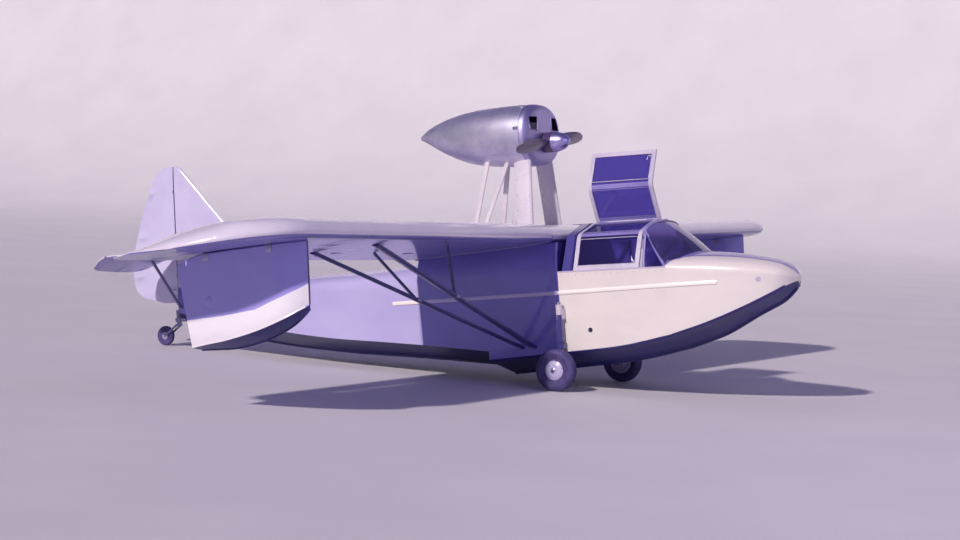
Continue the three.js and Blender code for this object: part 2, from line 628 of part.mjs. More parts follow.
const TAILPLANE_Z = 1440;
const ELEVATOR_DROOP = THREE.MathUtils.degToRad(28); // the elevators hang down when parked
const TAILPLANE = [
  [10, -4140, 44], [820, -4190, 42], [1040, -4260, 36], [1150, -4360, 28], [1195, -4480, 16],
];
const ELEVATOR = [
  [64, -4640, 42], [225, -4900, 42], [900, -4900, 38], [1090, -4860, 30], [1165, -4790, 22],
  [1190, -4700, 16],
];
const tailHingeX = HINGE_X - 6;
const tailStock = loft(TAILPLANE.map(([y, nose, t]) =>
  fixedOutline(nose, tailHingeX, t).map(([x, z]) => at(x, y, z + TAILPLANE_Z))));
const elevatorHingeX = tailHingeX - SURFACE_GAP;
const elevatorHinges = [260, 640, 1020].map((y) => at(elevatorHingeX, y, TAILPLANE_Z));
const rudderRoom = block(tailHingeX - 20, tailHingeX + 22, -10, 44, TAILPLANE_Z - 40, TAILPLANE_Z + 40);
addPair('tailplane', join(
  cut(tailStock, moved(evened(fin), 0, TOUCH, 0), rudderRoom),
  ...elevatorHinges.map((point) => knuckle(point, spanwise)),
), paleGrey);
const elevatorStock = loft(ELEVATOR.map(([y, tail, t]) =>
  movingOutline(0, tail - elevatorHingeX, t).map(([x, z]) => at(x, y, z))));
const elevator = cut(elevatorStock, ...elevatorHinges.map((point) =>
  knuckleRoom(at(0, point.y, 0), spanwise)));
for (const side of ['port', 'starboard']) {
  const hinge = new THREE.Group();
  hinge.position.set(elevatorHingeX, 0, TAILPLANE_Z);
  hinge.rotation.y = -ELEVATOR_DROOP;
  halves[side].add(hinge);
  add(`elevator_${side}`, elevator, paleGrey, hinge);
}
const BRACE_X = -4545;
const brace = strut(at(BRACE_X, 40, 868), at(BRACE_X, 560, TAILPLANE_Z - 10), 40, 16, out, up);
addPair('tail_brace', cut(brace, moved(evened(aftHull), 0, TOUCH, 0), moved(tailStock, 0, 0, -TOUCH)), blue);

// Nacelle. Stations: x, half width, middle z, half height. The front is open and the bowl closes it.
const NACELLE = [
  [-1655, 18, 2420, 18], [-1560, 90, 2424, 70], [-1350, 208, 2405, 167], [-1080, 306, 2380, 248],
  [-780, 362, 2368, 280], [-560, 378, 2362, 290], [-420, 378, 2362, 286],
];
const BOWL = [
  [-420, 378, 2362, 286], [-378, 366, 2362, 278], [-348, 330, 2362, 252], [-334, 270, 2362, 210],
];
const NACELLE_SIDES = 22;
const SKIN_T = 10;

function nacelleRing([x, halfWidth, middleZ, halfHeight], inset = 0) {
  const ring = [];
  for (let k = 0; k < NACELLE_SIDES; k += 1) {
    const angle = (2 * Math.PI * k) / NACELLE_SIDES;
    const [c, s] = [Math.cos(angle), Math.sin(angle)];
    const square = (v) => Math.sign(v) * Math.abs(v) ** 0.84;
    ring.push(at(x, (halfWidth - inset) * square(c), middleZ + (halfHeight - inset) * square(s)));
  }
  return ring;
}

// Pylon legs: a faired pair in front and a vee behind, all standing on the wing's top skin and
// running up through the nacelle to the engine.
const BLOCK_UNDER_Z = 2162;
const pylonLegs = (grow) => {
  const leg = (foot, head, chord, thickness) =>
    strut(foot, head, chord + 2 * grow, thickness + 2 * grow, up, up);
  return {
    front: leg(at(-431, 304, 1445), at(-470, 215, BLOCK_UNDER_Z - TOUCH), 176, 62),
    rear: join(
      leg(at(-1000, 302, 1372), at(-838, 202, BLOCK_UNDER_Z - TOUCH), 52, 24),
      leg(at(-913, 302, 1390), at(-610, 214, BLOCK_UNDER_Z - TOUCH), 44, 20),
      block(-1034, -886, 288, 316, 1380, 1436), // the shoe that both stand in
    ),
  };
};
const wingTop = moved(evened(wingCentre), 0, 0, TOUCH);
const legs = pylonLegs(0);
addPair('pylon_front', cut(legs.front, wingTop), cream);
addPair('pylon_rear', cut(legs.rear, wingTop), blue);

const fatLegs = pylonLegs(TOUCH);
const legTools = Object.values(fatLegs).flatMap((leg) => [leg, mirrored(leg)]);
const nacelleOuter = loft(NACELLE.map((row) => nacelleRing(row)));
const nacelleInner = loft([
  nacelleRing([-1500, 105, 2422, 85], SKIN_T), ...NACELLE.slice(2).map((row) => nacelleRing(row, SKIN_T)),
  nacelleRing([-410, 378, 2362, 286], SKIN_T),
]);
add('nacelle', cut(nacelleOuter, nacelleInner, ...legTools), silver);

const SHAFT_R = 34;
const INLET = { y: 215, halfY: 72, z: 2462, halfZ: 62 };
const bowlOuter = loft(shifted(BOWL, TOUCH, 0).map((row) => nacelleRing(row)));
const bowlInner = loft([
  nacelleRing([-430, 378, 2362, 286], SKIN_T), nacelleRing([-378, 366, 2362, 278], SKIN_T),
  nacelleRing([-352, 318, 2362, 240], SKIN_T),
]);
const inlets = [-1, 1].map((side) => block(
  -420, -300, side * INLET.y - INLET.halfY, side * INLET.y + INLET.halfY,
  INLET.z - INLET.halfZ, INLET.z + INLET.halfZ));
const shaftHole = bar(at(-420, 0, ENGINE_Z), at(-300, 0, ENGINE_Z), SHAFT_R + 14, 16);
add('nose_bowl', cut(bowlOuter, bowlInner, ...inlets, shaftHole, ...legTools), silver);

const HUB_AFT_X = -326;
const HUB_FWD_X = -236;
add('engine_block', join(
  block(-1000, -470, -150, 150, BLOCK_UNDER_Z + 38, 2500),
  block(-780, -475, -240, 240, BLOCK_UNDER_Z, 2440),
  block(-876, -700, -222, 222, BLOCK_UNDER_Z, 2400),
  bar(at(-480, 0, ENGINE_Z), at(HUB_AFT_X - 0.5, 0, ENGINE_Z), SHAFT_R, 16),
), steel);

// Propeller: two blades on a hub disc. Stations: radius, chord, thickness, blade angle in degrees.
const PROP_STATIONS = [
  [60, 70, 40, 50], [145, 105, 26, 44], [280, 132, 18, 31], [450, 126, 12, 23], [600, 100, 8, 18],
  [675, 66, 6, 16], [704, 20, 4, 15],
];
const HUB_R = 96;
const hubX = (HUB_AFT_X + HUB_FWD_X) / 2;
const bladeRings = PROP_STATIONS.map(([radius, chord, thick, degrees]) => {
  const angle = THREE.MathUtils.degToRad(degrees);
  return [[0.5, 0], [0.2, 0.5], [-0.2, 0.45], [-0.5, 0.04], [-0.2, -0.3], [0.2, -0.4]].map(([f, h]) => at(
    hubX + f * chord * Math.sin(angle) + h * thick * Math.cos(angle),
    f * chord * Math.cos(angle) - h * thick * Math.sin(angle),
    radius,
  ));
});
const blade = loft(bladeRings);
const PROP_TILT = THREE.MathUtils.degToRad(97); // stopped all but level
const propDisc = bar(at(HUB_AFT_X, 0, 0), at(HUB_FWD_X, 0, 0), HUB_R, 24);
const prop = join(propDisc, blade, blade.clone().rotateX(Math.PI)).rotateX(PROP_TILT);
add('propeller', moved(prop, 0, 0, ENGINE_Z), darkPaint);
const spinnerProfile = [[0, 0], [HUB_R, 0], [HUB_R * 0.92, 55], [HUB_R * 0.66, 115], [HUB_R * 0.3, 150], [0, 160]];
const spinner = turned(spinnerProfile, 24).rotateZ(-Math.PI / 2);
add('spinner', moved(spinner, HUB_FWD_X + TOUCH, 0, ENGINE_Z), silver);

// Main gear: a leg in a bracket on each side of the hull, with the axle at its foot.
const AXLE_X = WHEEL_R * Math.sin(PARK_ANGLE);
const AXLE_Z = WHEEL_R * Math.cos(PARK_ANGLE);
const AXLE_R = 16;
const LEG_Y = 592;
const LEG_TOP_Z = 770;
const HUB_BORE_R = AXLE_R + 0.9;
const legStock = join(
  bar(at(AXLE_X, LEG_Y, AXLE_Z - 26), at(AXLE_X, LEG_Y, LEG_TOP_Z), 21, 16),
  bar(at(AXLE_X, LEG_Y, LEG_TOP_Z - 90), at(AXLE_X, LEG_Y, LEG_TOP_Z + 6), 31, 16),
  block(AXLE_X - 34, AXLE_X + 34, 500, LEG_Y, 640, 740),
  block(AXLE_X - 26, AXLE_X + 26, 480, LEG_Y, 372, 420),
  bar(at(AXLE_X, LEG_Y, AXLE_Z), at(AXLE_X, WHEEL_Y + 22, AXLE_Z), AXLE_R, 20),
  bar(at(AXLE_X, LEG_Y, AXLE_Z), at(AXLE_X, WHEEL_Y - 55, AXLE_Z), AXLE_R + 9, 20),
);
addPair('gear_leg', cut(legStock, ...hullSides), steel);

const RIM_R = 108;
const WHEEL_SIDES = 32;
// The flats of a wheel's tread, not its corners, lie at its radius, and one of them on the ground.
const treadRadius = (radius, sides) => radius / Math.cos(Math.PI / sides);
const onFlat = (wheel, sides) => wheel.rotateY(PARK_ANGLE - Math.PI / sides);
const TREAD_R = treadRadius(WHEEL_R, WHEEL_SIDES);
const hubProfile = [
  [0, 66], [40, 62], [78, 50], [RIM_R, 34], [RIM_R, -46], [88, -46], [70, -30], [46, -54], [HUB_BORE_R, -54],
  [HUB_BORE_R, 26], [0, 26],
];
const tyreProfile = [
  [RIM_R + TOUCH, -44], [RIM_R + 26, -56], [150, -62], [176, -52], [TREAD_R, -26], [TREAD_R, 26],
  [176, 52], [150, 62], [RIM_R + 26, 56], [RIM_R + TOUCH, 44],
];
const wheelHub = onFlat(turned(hubProfile, WHEEL_SIDES), WHEEL_SIDES);
const tyre = onFlat(turned([...tyreProfile, tyreProfile[0]], WHEEL_SIDES), WHEEL_SIDES);
const wheelAt = (geometry) => moved(geometry, AXLE_X, WHEEL_Y, AXLE_Z);
addPair('wheel_hub', wheelAt(wheelHub), cream);
addPair('tyre', wheelAt(tyre), rubber);

// Tail wheel: a trailing fork that swivels on a pin under the stern.
const SWIVEL_X = -4624;
const TAIL_AXLE_Z = (TAIL_WHEEL_R - TAIL_AXLE_X * Math.sin(PARK_ANGLE)) / Math.cos(PARK_ANGLE);
const FORK_TOP_Z = 752;
const stern = join(
  block(STERN_X - 70, STERN_X + 60, -24, 24, FORK_TOP_Z + 6, 800),
  bar(at(SWIVEL_X, 0, FORK_TOP_Z + TOUCH), at(SWIVEL_X, 0, 880), 27, 16),
);
add('tail_bracket', cut(stern, moved(aftHull, -TOUCH, 0, -TOUCH)), steel);
const FORK_Y = 40;
const forkParts = [
  bar(at(SWIVEL_X, 0, FORK_TOP_Z - 40), at(SWIVEL_X, 0, FORK_TOP_Z), 27, 16),
  block(SWIVEL_X - 26, SWIVEL_X + 10, -FORK_Y - 6, FORK_Y + 6, FORK_TOP_Z - 40, FORK_TOP_Z - 12),
  bar(at(TAIL_AXLE_X, -FORK_Y - 10, TAIL_AXLE_Z), at(TAIL_AXLE_X, FORK_Y + 10, TAIL_AXLE_Z), 9, 12),
];
for (const y of [-FORK_Y, FORK_Y]) {
  forkParts.push(bar(at(SWIVEL_X - 12, y, FORK_TOP_Z - 26), at(TAIL_AXLE_X, y, TAIL_AXLE_Z), 12, 10, 10));
}
add('tail_fork', join(...forkParts), steel);
const TAIL_WHEEL_SIDES = 28;
const TAIL_TREAD_R = treadRadius(TAIL_WHEEL_R, TAIL_WHEEL_SIDES);
const tailWheelProfile = [
  [9.8, -28], [30, -28], [58, -22], [86, -24], [TAIL_TREAD_R, -12], [TAIL_TREAD_R, 12], [86, 24],
  [58, 22], [30, 28], [9.8, 28],
];
const tailWheel = onFlat(
  turned([...tailWheelProfile, tailWheelProfile[0]], TAIL_WHEEL_SIDES), TAIL_WHEEL_SIDES);
add('tail_wheel', moved(tailWheel, TAIL_AXLE_X, 0, TAIL_AXLE_Z), rubber);

// The part's own zero is on the ground under the middle of the craft.
craft.updateMatrixWorld(true);
const reach = new THREE.Box3().setFromObject(craft, true);
craft.position.set(-(reach.min.x + reach.max.x) / 2, 0, -reach.min.z);

export default craft;
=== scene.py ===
import math

import bmesh
import bpy
from mathutils import Matrix, Vector


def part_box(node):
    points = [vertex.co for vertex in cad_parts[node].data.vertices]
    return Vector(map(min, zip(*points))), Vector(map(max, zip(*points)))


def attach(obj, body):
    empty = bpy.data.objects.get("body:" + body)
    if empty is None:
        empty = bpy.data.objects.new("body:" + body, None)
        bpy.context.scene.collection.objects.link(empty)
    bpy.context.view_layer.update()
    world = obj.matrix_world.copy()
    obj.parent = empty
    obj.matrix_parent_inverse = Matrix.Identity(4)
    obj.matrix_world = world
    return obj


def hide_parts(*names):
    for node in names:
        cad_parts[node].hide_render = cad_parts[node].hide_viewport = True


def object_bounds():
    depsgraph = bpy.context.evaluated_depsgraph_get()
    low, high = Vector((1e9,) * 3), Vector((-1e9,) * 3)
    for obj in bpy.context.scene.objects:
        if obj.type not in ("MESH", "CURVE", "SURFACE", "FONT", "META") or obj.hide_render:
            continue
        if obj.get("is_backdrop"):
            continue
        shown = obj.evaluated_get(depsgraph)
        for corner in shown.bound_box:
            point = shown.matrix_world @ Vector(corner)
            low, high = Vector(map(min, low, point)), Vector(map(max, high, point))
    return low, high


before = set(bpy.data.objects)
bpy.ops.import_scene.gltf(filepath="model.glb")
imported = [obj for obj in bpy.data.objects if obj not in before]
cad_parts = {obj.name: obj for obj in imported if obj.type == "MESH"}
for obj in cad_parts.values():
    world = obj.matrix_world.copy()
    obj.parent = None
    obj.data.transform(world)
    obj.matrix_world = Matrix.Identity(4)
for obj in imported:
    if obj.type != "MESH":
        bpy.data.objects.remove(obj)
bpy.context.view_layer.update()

# ---- Camera ----
# As the photograph was taken: a long lens at eye height, ahead of the starboard wing tip and aimed a
# little left of the cabin. The craft is drawn level, in mm from the ground between its main wheels,
# and PARKED sets it back on its tail wheel.
low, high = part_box("tyre_port")
WHEELS_X = (low.x + high.x) / 2
PARK_ANGLE = math.radians(6.2)
PARKED = (Matrix.Translation((WHEELS_X, 0, 0)) @ Matrix.Rotation(-PARK_ANGLE, 4, "Y")
          @ Matrix.Scale(0.001, 4))
# The camera's turn towards the bow from square abeam, its tilt and its roll, then its place in metres: how
# far out, how far aft of the wheels and how high.
BEARING = math.radians(28.301)
TILT = math.radians(-2.605)
ROLL = math.radians(2.659)
STAND_OFF = 20.554
STAND_AFT = 1.063
EYE_HEIGHT = 1.965
LENS_MM = 83.42


def placed(name, data):
    """A new object in the scene."""
    made = bpy.data.objects.new(name, data)
    bpy.context.scene.collection.objects.link(made)
    return made


backward = Vector((math.sin(BEARING), -math.cos(BEARING), 0))
rightward = Vector((math.cos(BEARING), math.sin(BEARING), 0))
eye = backward * STAND_OFF - rightward * STAND_AFT + Vector((WHEELS_X, 0, EYE_HEIGHT))
sight = Vector((0, 0, math.sin(TILT))) - backward * math.cos(TILT)
upward = rightward.cross(sight)
across = rightward * math.cos(ROLL) + upward * math.sin(ROLL)
above = upward * math.cos(ROLL) - rightward * math.sin(ROLL)
lens = bpy.data.cameras.new("camera")
lens.sensor_width = 36
lens.lens = LENS_MM
lens.clip_end = 400
camera = placed("camera", lens)
camera.matrix_world = Matrix.Translation(eye) @ Matrix((across, above, -sight)).transposed().to_4x4()
bpy.context.scene.camera = camera

# ---- Floor and light ----
# A plain pale floor that sweeps up into a wall far to port. The key light stands where the sun stood, square
# abeam to starboard, so the wing's shadow falls between its own edges. A fill light stands off the bow.
bpy.context.scene.view_settings.view_transform = "Standard"


def linear(colour):
    """Blender's linear colour for an sRGB hex string."""
    parts = [int(colour[k:k + 2], 16) / 255 for k in (1, 3, 5)]
    return (*[c / 12.92 if c <= 0.04045 else ((c + 0.055) / 1.055) ** 2.4 for c in parts], 1)


def add_node(tree, kind, sockets=None, stops=(), **settings):
    """A new shader node. Its sockets take numbers or links, and a colour ramp takes its stops."""
    node = tree.nodes.new("ShaderNode" + kind)
    for name, value in settings.items():
        setattr(node, name, value)
    for name, value in (sockets or {}).items():
        if isinstance(value, bpy.types.NodeSocket):
            tree.links.new(value, node.inputs[name])
        else:
            node.inputs[name].default_value = value
    for k, (place, colour) in enumerate(stops):
        elements = node.color_ramp.elements
        stop = elements[k] if k < 2 else elements.new(place)
        stop.position = place
        stop.color = linear(colour)
    return node


def new_material(name):
    """An empty material, its node tree and each point's place in metres."""
    material = bpy.data.materials.new(name)
    material.use_nodes = True
    tree = material.node_tree
    tree.nodes.clear()
    return material, tree, add_node(tree, "TexCoord").outputs["Object"]



def poured_floor(name):
    """Pale screed: hardly any colour of its own, with broad faint clouding so it doesn't look printed."""
    material, tree, place = new_material(name)
    clouds = add_node(tree, "TexNoise", {"Vector": place, "Scale": 0.6, "Detail": 5.0})
    tone = add_node(tree, "ValToRGB", {"Fac": clouds.outputs["Fac"]},
                    stops=[(0.3, "#c9c6cf"), (0.7, "#cfccd4")])
    shader = add_node(tree, "BsdfPrincipled", {"Base Color": tone.outputs["Color"], "Roughness": 0.7})
    add_node(tree, "OutputMaterial", {"Surface": shader.outputs["BSDF"]})
    return material


# In metres: half the floor's length, its near edge, a row across it, the foot and the radius of the sweep,
# and the wall's top.
FLOOR_HALF = 240
FLOOR_EDGE = -160
FLOOR_ROW = -60
SWEEP_FOOT = 34
SWEEP_RADIUS = 12
WALL_TOP = 24
floor_line = [(FLOOR_EDGE, 0), (FLOOR_ROW, 0), (SWEEP_FOOT, 0)]
for k in range(1, 13):
    bent = k * math.pi / 24
    floor_line.append((SWEEP_FOOT + SWEEP_RADIUS * math.sin(bent),
                       SWEEP_RADIUS - SWEEP_RADIUS * math.cos(bent)))
floor_line.append((SWEEP_FOOT + SWEEP_RADIUS, WALL_TOP))
floor_mesh = bpy.data.meshes.new("floor")
floor_points = [(x, y, z) for y, z in floor_line for x in (-FLOOR_HALF, FLOOR_HALF)]
floor_bays = [(2 * k, 2 * k + 1, 2 * k + 3, 2 * k + 2) for k in range(len(floor_line) - 1)]
floor_mesh.from_pydata(floor_points, [], floor_bays)
floor_mesh.shade_smooth()
floor_mesh.materials.append(poured_floor("pale screed"))
floor = placed("floor", floor_mesh)
floor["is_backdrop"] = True

world = bpy.data.worlds.new("surround")
world.use_nodes = True
bpy.context.scene.world = world
sky_tree = world.node_tree
sky_place = add_node(sky_tree, "TexCoord").outputs["Generated"]
sky_height = add_node(sky_tree, "SeparateXYZ", {"Vector": sky_place}).outputs["Z"]
sky_tone = add_node(sky_tree, "ValToRGB", {"Fac": sky_height},
                    stops=[(0.0, "#dcd9e6"), (0.14, "#d0cbe6"), (0.6, "#a39bdc")])
sky_tree.links.new(sky_tone.outputs["Color"], sky_tree.nodes["Background"].inputs["Color"])
sky_tree.nodes["Background"].inputs["Strength"].default_value = 0.36


def lamp(name, kind, colour, energy, heading, elevation, distance=0, **settings):
    """A lamp that shines on the cabin from a compass heading and a height, in degrees."""
    light = bpy.data.lights.new(name, kind)
    light.color = linear(colour)[:3]
    light.energy = energy
    for key, value in settings.items():
        setattr(light, key, value)
    a, e = math.radians(heading), math.radians(elevation)
    away = Vector((math.sin(a) * math.cos(e), -math.cos(a) * math.cos(e), math.sin(e)))
    holder = placed(name, light)
    holder.location = away * distance + Vector((0, 0, 1))
    holder.rotation_euler = away.to_track_quat("Z", "Y").to_euler()


SUN_HEADING = -4.1
SUN_HEIGHT = 33.4
lamp("key light", "SUN", "#fff4ec", 3.15, SUN_HEADING, SUN_HEIGHT, angle=math.radians(2.5))
lamp("fill light", "AREA", "#d6ccff", 190, 66, 24, distance=15, shape="RECTANGLE", size=7, size_y=5)

# ---- Hull ----
# A wooden hull of plywood sheets over frames, with hard chines, a vee bottom and a step under the wing.
# Each stretch is painted in gloss enamel: lavender grey aft, blue under the wing, white in front, all on
# a blue bottom, with a lavender deck forward and a mauve one aft. A half-round moulding runs along each side.
# Painted shade: the blue under the wing stands in for the wing's shadow, the blue at the stern for the
# tailplane's, the mauve aft deck for shade on the deck, and the bottom is blue paint darkened to its shade.


class Stock:
    """The points, in mm on the level craft, and the faces of one piece, with the paint of each face."""

    def __init__(self):
        self.points = []
        self.faces = []
        self.paints = []

    def face(self, corners, paint=0):
        """One face over points that are already there."""
        self.faces.append(tuple(corners))
        self.paints.append(paint)

    def join(self, other):
        """Takes in the points and faces of other stock."""
        base = len(self.points)
        self.points += other.points
        for corners, paint in zip(other.faces, other.paints):
            self.face([base + k for k in corners], paint)

    def loft(self, rings, paint=0, ends=(True, True)):
        """A skin over rings of as many points each. paint may be a function of the bay and the side."""
        first = len(self.points)
        count = len(rings[0])
        for ring in rings:
            self.points.extend(Vector(p) for p in ring)
        for bay in range(len(rings) - 1):
            for side in range(count):
                a = first + bay * count + side
                b = first + bay * count + (side + 1) % count
                self.face((a, b, b + count, a + count), paint(bay, side) if callable(paint) else paint)
        for wanted, start in zip(ends, (0, len(rings) - 1)):
            if wanted:
                self.face([first + start * count + k for k in range(count)],
                          paint(min(start, len(rings) - 2), 0) if callable(paint) else paint)

    def sweep(self, path, outline, side, paint=0, looped=False):
        """A bar of one outline along a path, with the outline's first axis laid towards side."""
        rings = []
        for k, place in enumerate(path):
            before = path[k - 1] if k or looped else path[0]
            after = path[(k + 1) % len(path)] if k + 1 < len(path) or looped else path[-1]
            run = (Vector(after) - Vector(before)).normalized()
            towards = Vector(side) - run * Vector(side).dot(run)
            towards.normalize()
            rise = run.cross(towards)
            rings.append([Vector(place) + towards * a + rise * b for a, b in outline])
        if looped:
            rings.append(rings[0])
        self.loft(rings, paint, ends=(not looped, not looped))

    def turn(self, profile, place, axis, sides=32, paint=0):
        """A profile of (radius, distance) pairs turned about an axis through a place."""
        axis = Vector(axis).normalized()
        first = axis.orthogonal().normalized()
        second = axis.cross(first)
        rings = []
        for radius, distance in profile:
            rings.append([
                Vector(place) + axis * distance
                + (first * math.cos(turn) + second * math.sin(turn)) * max(radius, 0.01)
                for turn in (2 * math.pi * k / sides for k in range(sides))])
        self.loft(rings, paint, ends=(profile[0][0] > 0, profile[-1][0] > 0))

    def rod(self, start, end, radius, sides=16, paint=0):
        """A round bar with eased ends."""
        run = Vector(end) - Vector(start)
        ease = min(radius * 0.25, 3)
        self.turn([(0, 0), (radius - ease, 0), (radius, ease), (radius, run.length - ease),
                   (radius - ease, run.length), (0, run.length)], start, run, sides, paint)

    def block(self, low, high, ease=3, paint=0):
        """A block between two corners, with its edges eased."""
        (x0, x1), (y0, y1), (z0, z1) = (sorted(pair) for pair in zip(low, high))
        outline = []
        for cy, cz, quarter in ((y1, z1, 0), (y0, z1, 1), (y0, z0, 2), (y1, z0, 3)):
            for step in (0, 0.5, 1):
                angle = (quarter + step) * math.pi / 2
                outline.append((cy, cz, math.cos(angle), math.sin(angle)))
        rings = []
        for x, shrink in ((x0, ease), (x0 + ease, 0), (x1 - ease, 0), (x1, ease)):
            rings.append([
                (x, cy - math.copysign(ease, cy - (y0 + y1) / 2) + c * (ease - shrink * 0.9),
                 cz - math.copysign(ease, cz - (z0 + z1) / 2) + s * (ease - shrink * 0.9))
                for cy, cz, c, s in outline])
        self.loft(rings, paint)

    def on(self, side):
        """The piece itself, or its twin on the starboard side for -1."""
        twin = Stock()
        twin.points = [Vector((p.x, p.y * side, p.z)) for p in self.points]
        twin.faces = [face[::side] for face in self.faces]
        twin.paints = list(self.paints)
        return twin


def merged(name, stock):
    """A mesh from stock, with its doubled points merged and its faces turned out."""
    shape = bpy.data.meshes.new(name)
    shape.from_pydata(stock.points, [], stock.faces)
    shape.polygons.foreach_set("material_index", stock.paints)
    work = bmesh.new()
    work.from_mesh(shape)
    bmesh.ops.remove_doubles(work, verts=work.verts, dist=0.05)
    bmesh.ops.recalc_face_normals(work, faces=work.faces)
    work.to_mesh(shape)
    work.free()
    return shape


def make_piece(name, stock, body, materials, replaces=(), swing=None, crease=38):
    """A piece from stock, parked with the craft, smooth between its creases and riding on a body."""
    shape = merged(name, stock)
    shape.transform(PARKED @ swing if swing else PARKED)
    shape.shade_smooth()
    shape.set_sharp_from_angle(angle=math.radians(crease))
    for material in materials:
        shape.materials.append(material)
    made = placed(name, shape)
    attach(made, body)
    if replaces:
        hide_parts(*replaces)


def faired(rows, steps):
    """Rows on one fair curve through the given rows, with steps to each bay."""
    first = [2 * a - b for a, b in zip(rows[0], rows[1])]
    last = [2 * a - b for a, b in zip(rows[-1], rows[-2])]
    ends = [first, *rows, last]
    curve = []
    for p in zip(ends, ends[1:], ends[2:], ends[3:]):
        knots = [0.0]
        for a, b in zip(p, p[1:]):
            knots.append(knots[-1] + max(math.dist(a, b), 1e-6) ** 0.5)

        def between(a, b, start, end, t):
            """The row at t on the line from a at start to b at end."""
            return [(u * (end - t) + v * (t - start)) / (end - start) for u, v in zip(a, b)]

        for step in range(steps):
            t = knots[1] + (knots[2] - knots[1]) * step / steps
            a = between(p[0], p[1], knots[0], knots[1], t)
            b = between(p[1], p[2], knots[1], knots[2], t)
            c = between(p[2], p[3], knots[2], knots[3], t)
            curve.append(between(between(a, b, knots[0], knots[2], t),
                                 between(b, c, knots[1], knots[3], t), knots[1], knots[2], t))
    return curve + [list(rows[-1])]


def enamel(name, colour, shade, roughness=0.3, coat=0.6):
    """Gloss enamel brushed over plywood. Broad clouding shows where it has chalked, fine specks are dust
    under the film, and the faint print of the ply's grain keeps reflections from being perfect."""
    material, tree, place = new_material(name)
    # Clouds about 0.5 m across, drawn out along the hull as rain leaves them.
    drawn = add_node(tree, "Mapping", {"Vector": place, "Scale": (0.5, 1.0, 1.0)}).outputs["Vector"]
    clouds = add_node(tree, "TexNoise", {"Vector": drawn, "Scale": 2.0, "Detail": 6.0, "Roughness": 0.6})
    tone = add_node(tree, "ValToRGB", {"Fac": clouds.outputs["Fac"]}, stops=[(0.32, shade), (0.62, colour)])
    # Grain about 4 mm apart across and 80 mm along: coarser than ply's own, which the camera can't see.
    along = add_node(tree, "Mapping", {"Vector": place, "Scale": (12.0, 250.0, 250.0)}).outputs["Vector"]
    grain = add_node(tree, "TexNoise", {"Vector": along, "Scale": 1.0, "Detail": 3.0})
    sweat = add_node(tree, "TexNoise", {"Vector": place, "Scale": 7.0, "Detail": 2.0})
    print_through = add_node(tree, "Bump", {"Height": grain.outputs["Fac"], "Strength": 0.12,
                                            "Distance": 0.0004})
    wave = add_node(tree, "Bump", {"Height": sweat.outputs["Fac"], "Strength": 0.25, "Distance": 0.004,
                                   "Normal": print_through.outputs["Normal"]})
    shine = add_node(tree, "MapRange", {"Value": clouds.outputs["Fac"], "To Min": roughness + 0.08,
                                        "To Max": roughness - 0.05})
    shader = add_node(tree, "BsdfPrincipled", {
        "Base Color": tone.outputs["Color"], "Roughness": shine.outputs["Result"],
        "Coat Weight": coat, "Coat Roughness": 0.06, "Normal": wave.outputs["Normal"]})
    add_node(tree, "OutputMaterial", {"Surface": shader.outputs["BSDF"]})
    return material


white_enamel = enamel("white gloss enamel on plywood", "#e3dbd9", "#d9d0d1")
lavender_enamel = enamel("lavender grey gloss enamel on plywood", "#bab3e0", "#aea6d9")
# Blue that stands in for shade: painted shadow of the wing on the mid hull and of the tailplane on the stern.
shadow_blue_enamel = enamel("blue gloss enamel on plywood", "#7870ca", "#6e66be")
deck_enamel = enamel("lavender blue deck enamel on plywood", "#7f72b4", "#7468a8", roughness=0.36)
# The aft deck is drawn mauve, darker than the lavender sides: painted shade and dark reflection where the
# light grazes the deck.
aft_deck_shade_enamel = enamel("mauve enamel as painted shade on the aft deck", "#8f7cbd", "#8472b2", roughness=0.36)
# The bottom is blue paint darkened to the deep shade under the hull and floats: partly painted shade.
bottom_blue_and_shade_enamel = enamel("blue bottom enamel darkened with painted shade", "#2b2670", "#241f60", roughness=0.42, coat=0.2)
sill_enamel = enamel("pale lavender enamel on a hardwood capping", "#c6bad4", "#bbafcc")

# Stations from stern to bow: x, keel z, chine z, chine y, sheer z, sheer y, crown z of the deck.
AFT_HULL = [
    [-4590, 790, 850, 45, 960, 60, 1120], [-3600, 540, 690, 250, 1000, 265, 1145],
    [-2600, 395, 550, 395, 1035, 420, 1165], [-1950, 335, 492, 450, 1051, 491, 1190],
    [-1470.4, 290, 449, 490, 1062, 543, 1236]]
MID_HULL = [
    [[-1470, 290, 449, 490, 1062, 543], [-760, 215, 368, 505, 1062, 548]],
    [[-760, 140, 280, 512, 1062, 548], [0, 190, 330, 512, 1062, 550]]]
COCKPIT = [
    [0.3, 190, 330, 512, 1062, 550], [600, 245, 375, 505, 1062, 548], [1050, 330, 455, 480, 1062, 530]]
BOW = [
    [1050, 330, 455, 480, 1062, 530, 1197], [1400, 440, 560, 430, 1035, 480, 1177],
    [1720, 600, 685, 355, 1005, 405, 1129], [1960, 715, 800, 255, 965, 300, 1064],
    [2060, 800, 862, 150, 935, 190, 1000], [2105, 862, 888, 40, 918, 50, 945]]
MID_TOP_Y = 505
BOTTOM, SIDE, DECK_EDGE, DECK = 4, 9, 12, 17  # where each part of a half section ends
OPEN_HALF = 13  # the points of a half section that has no deck


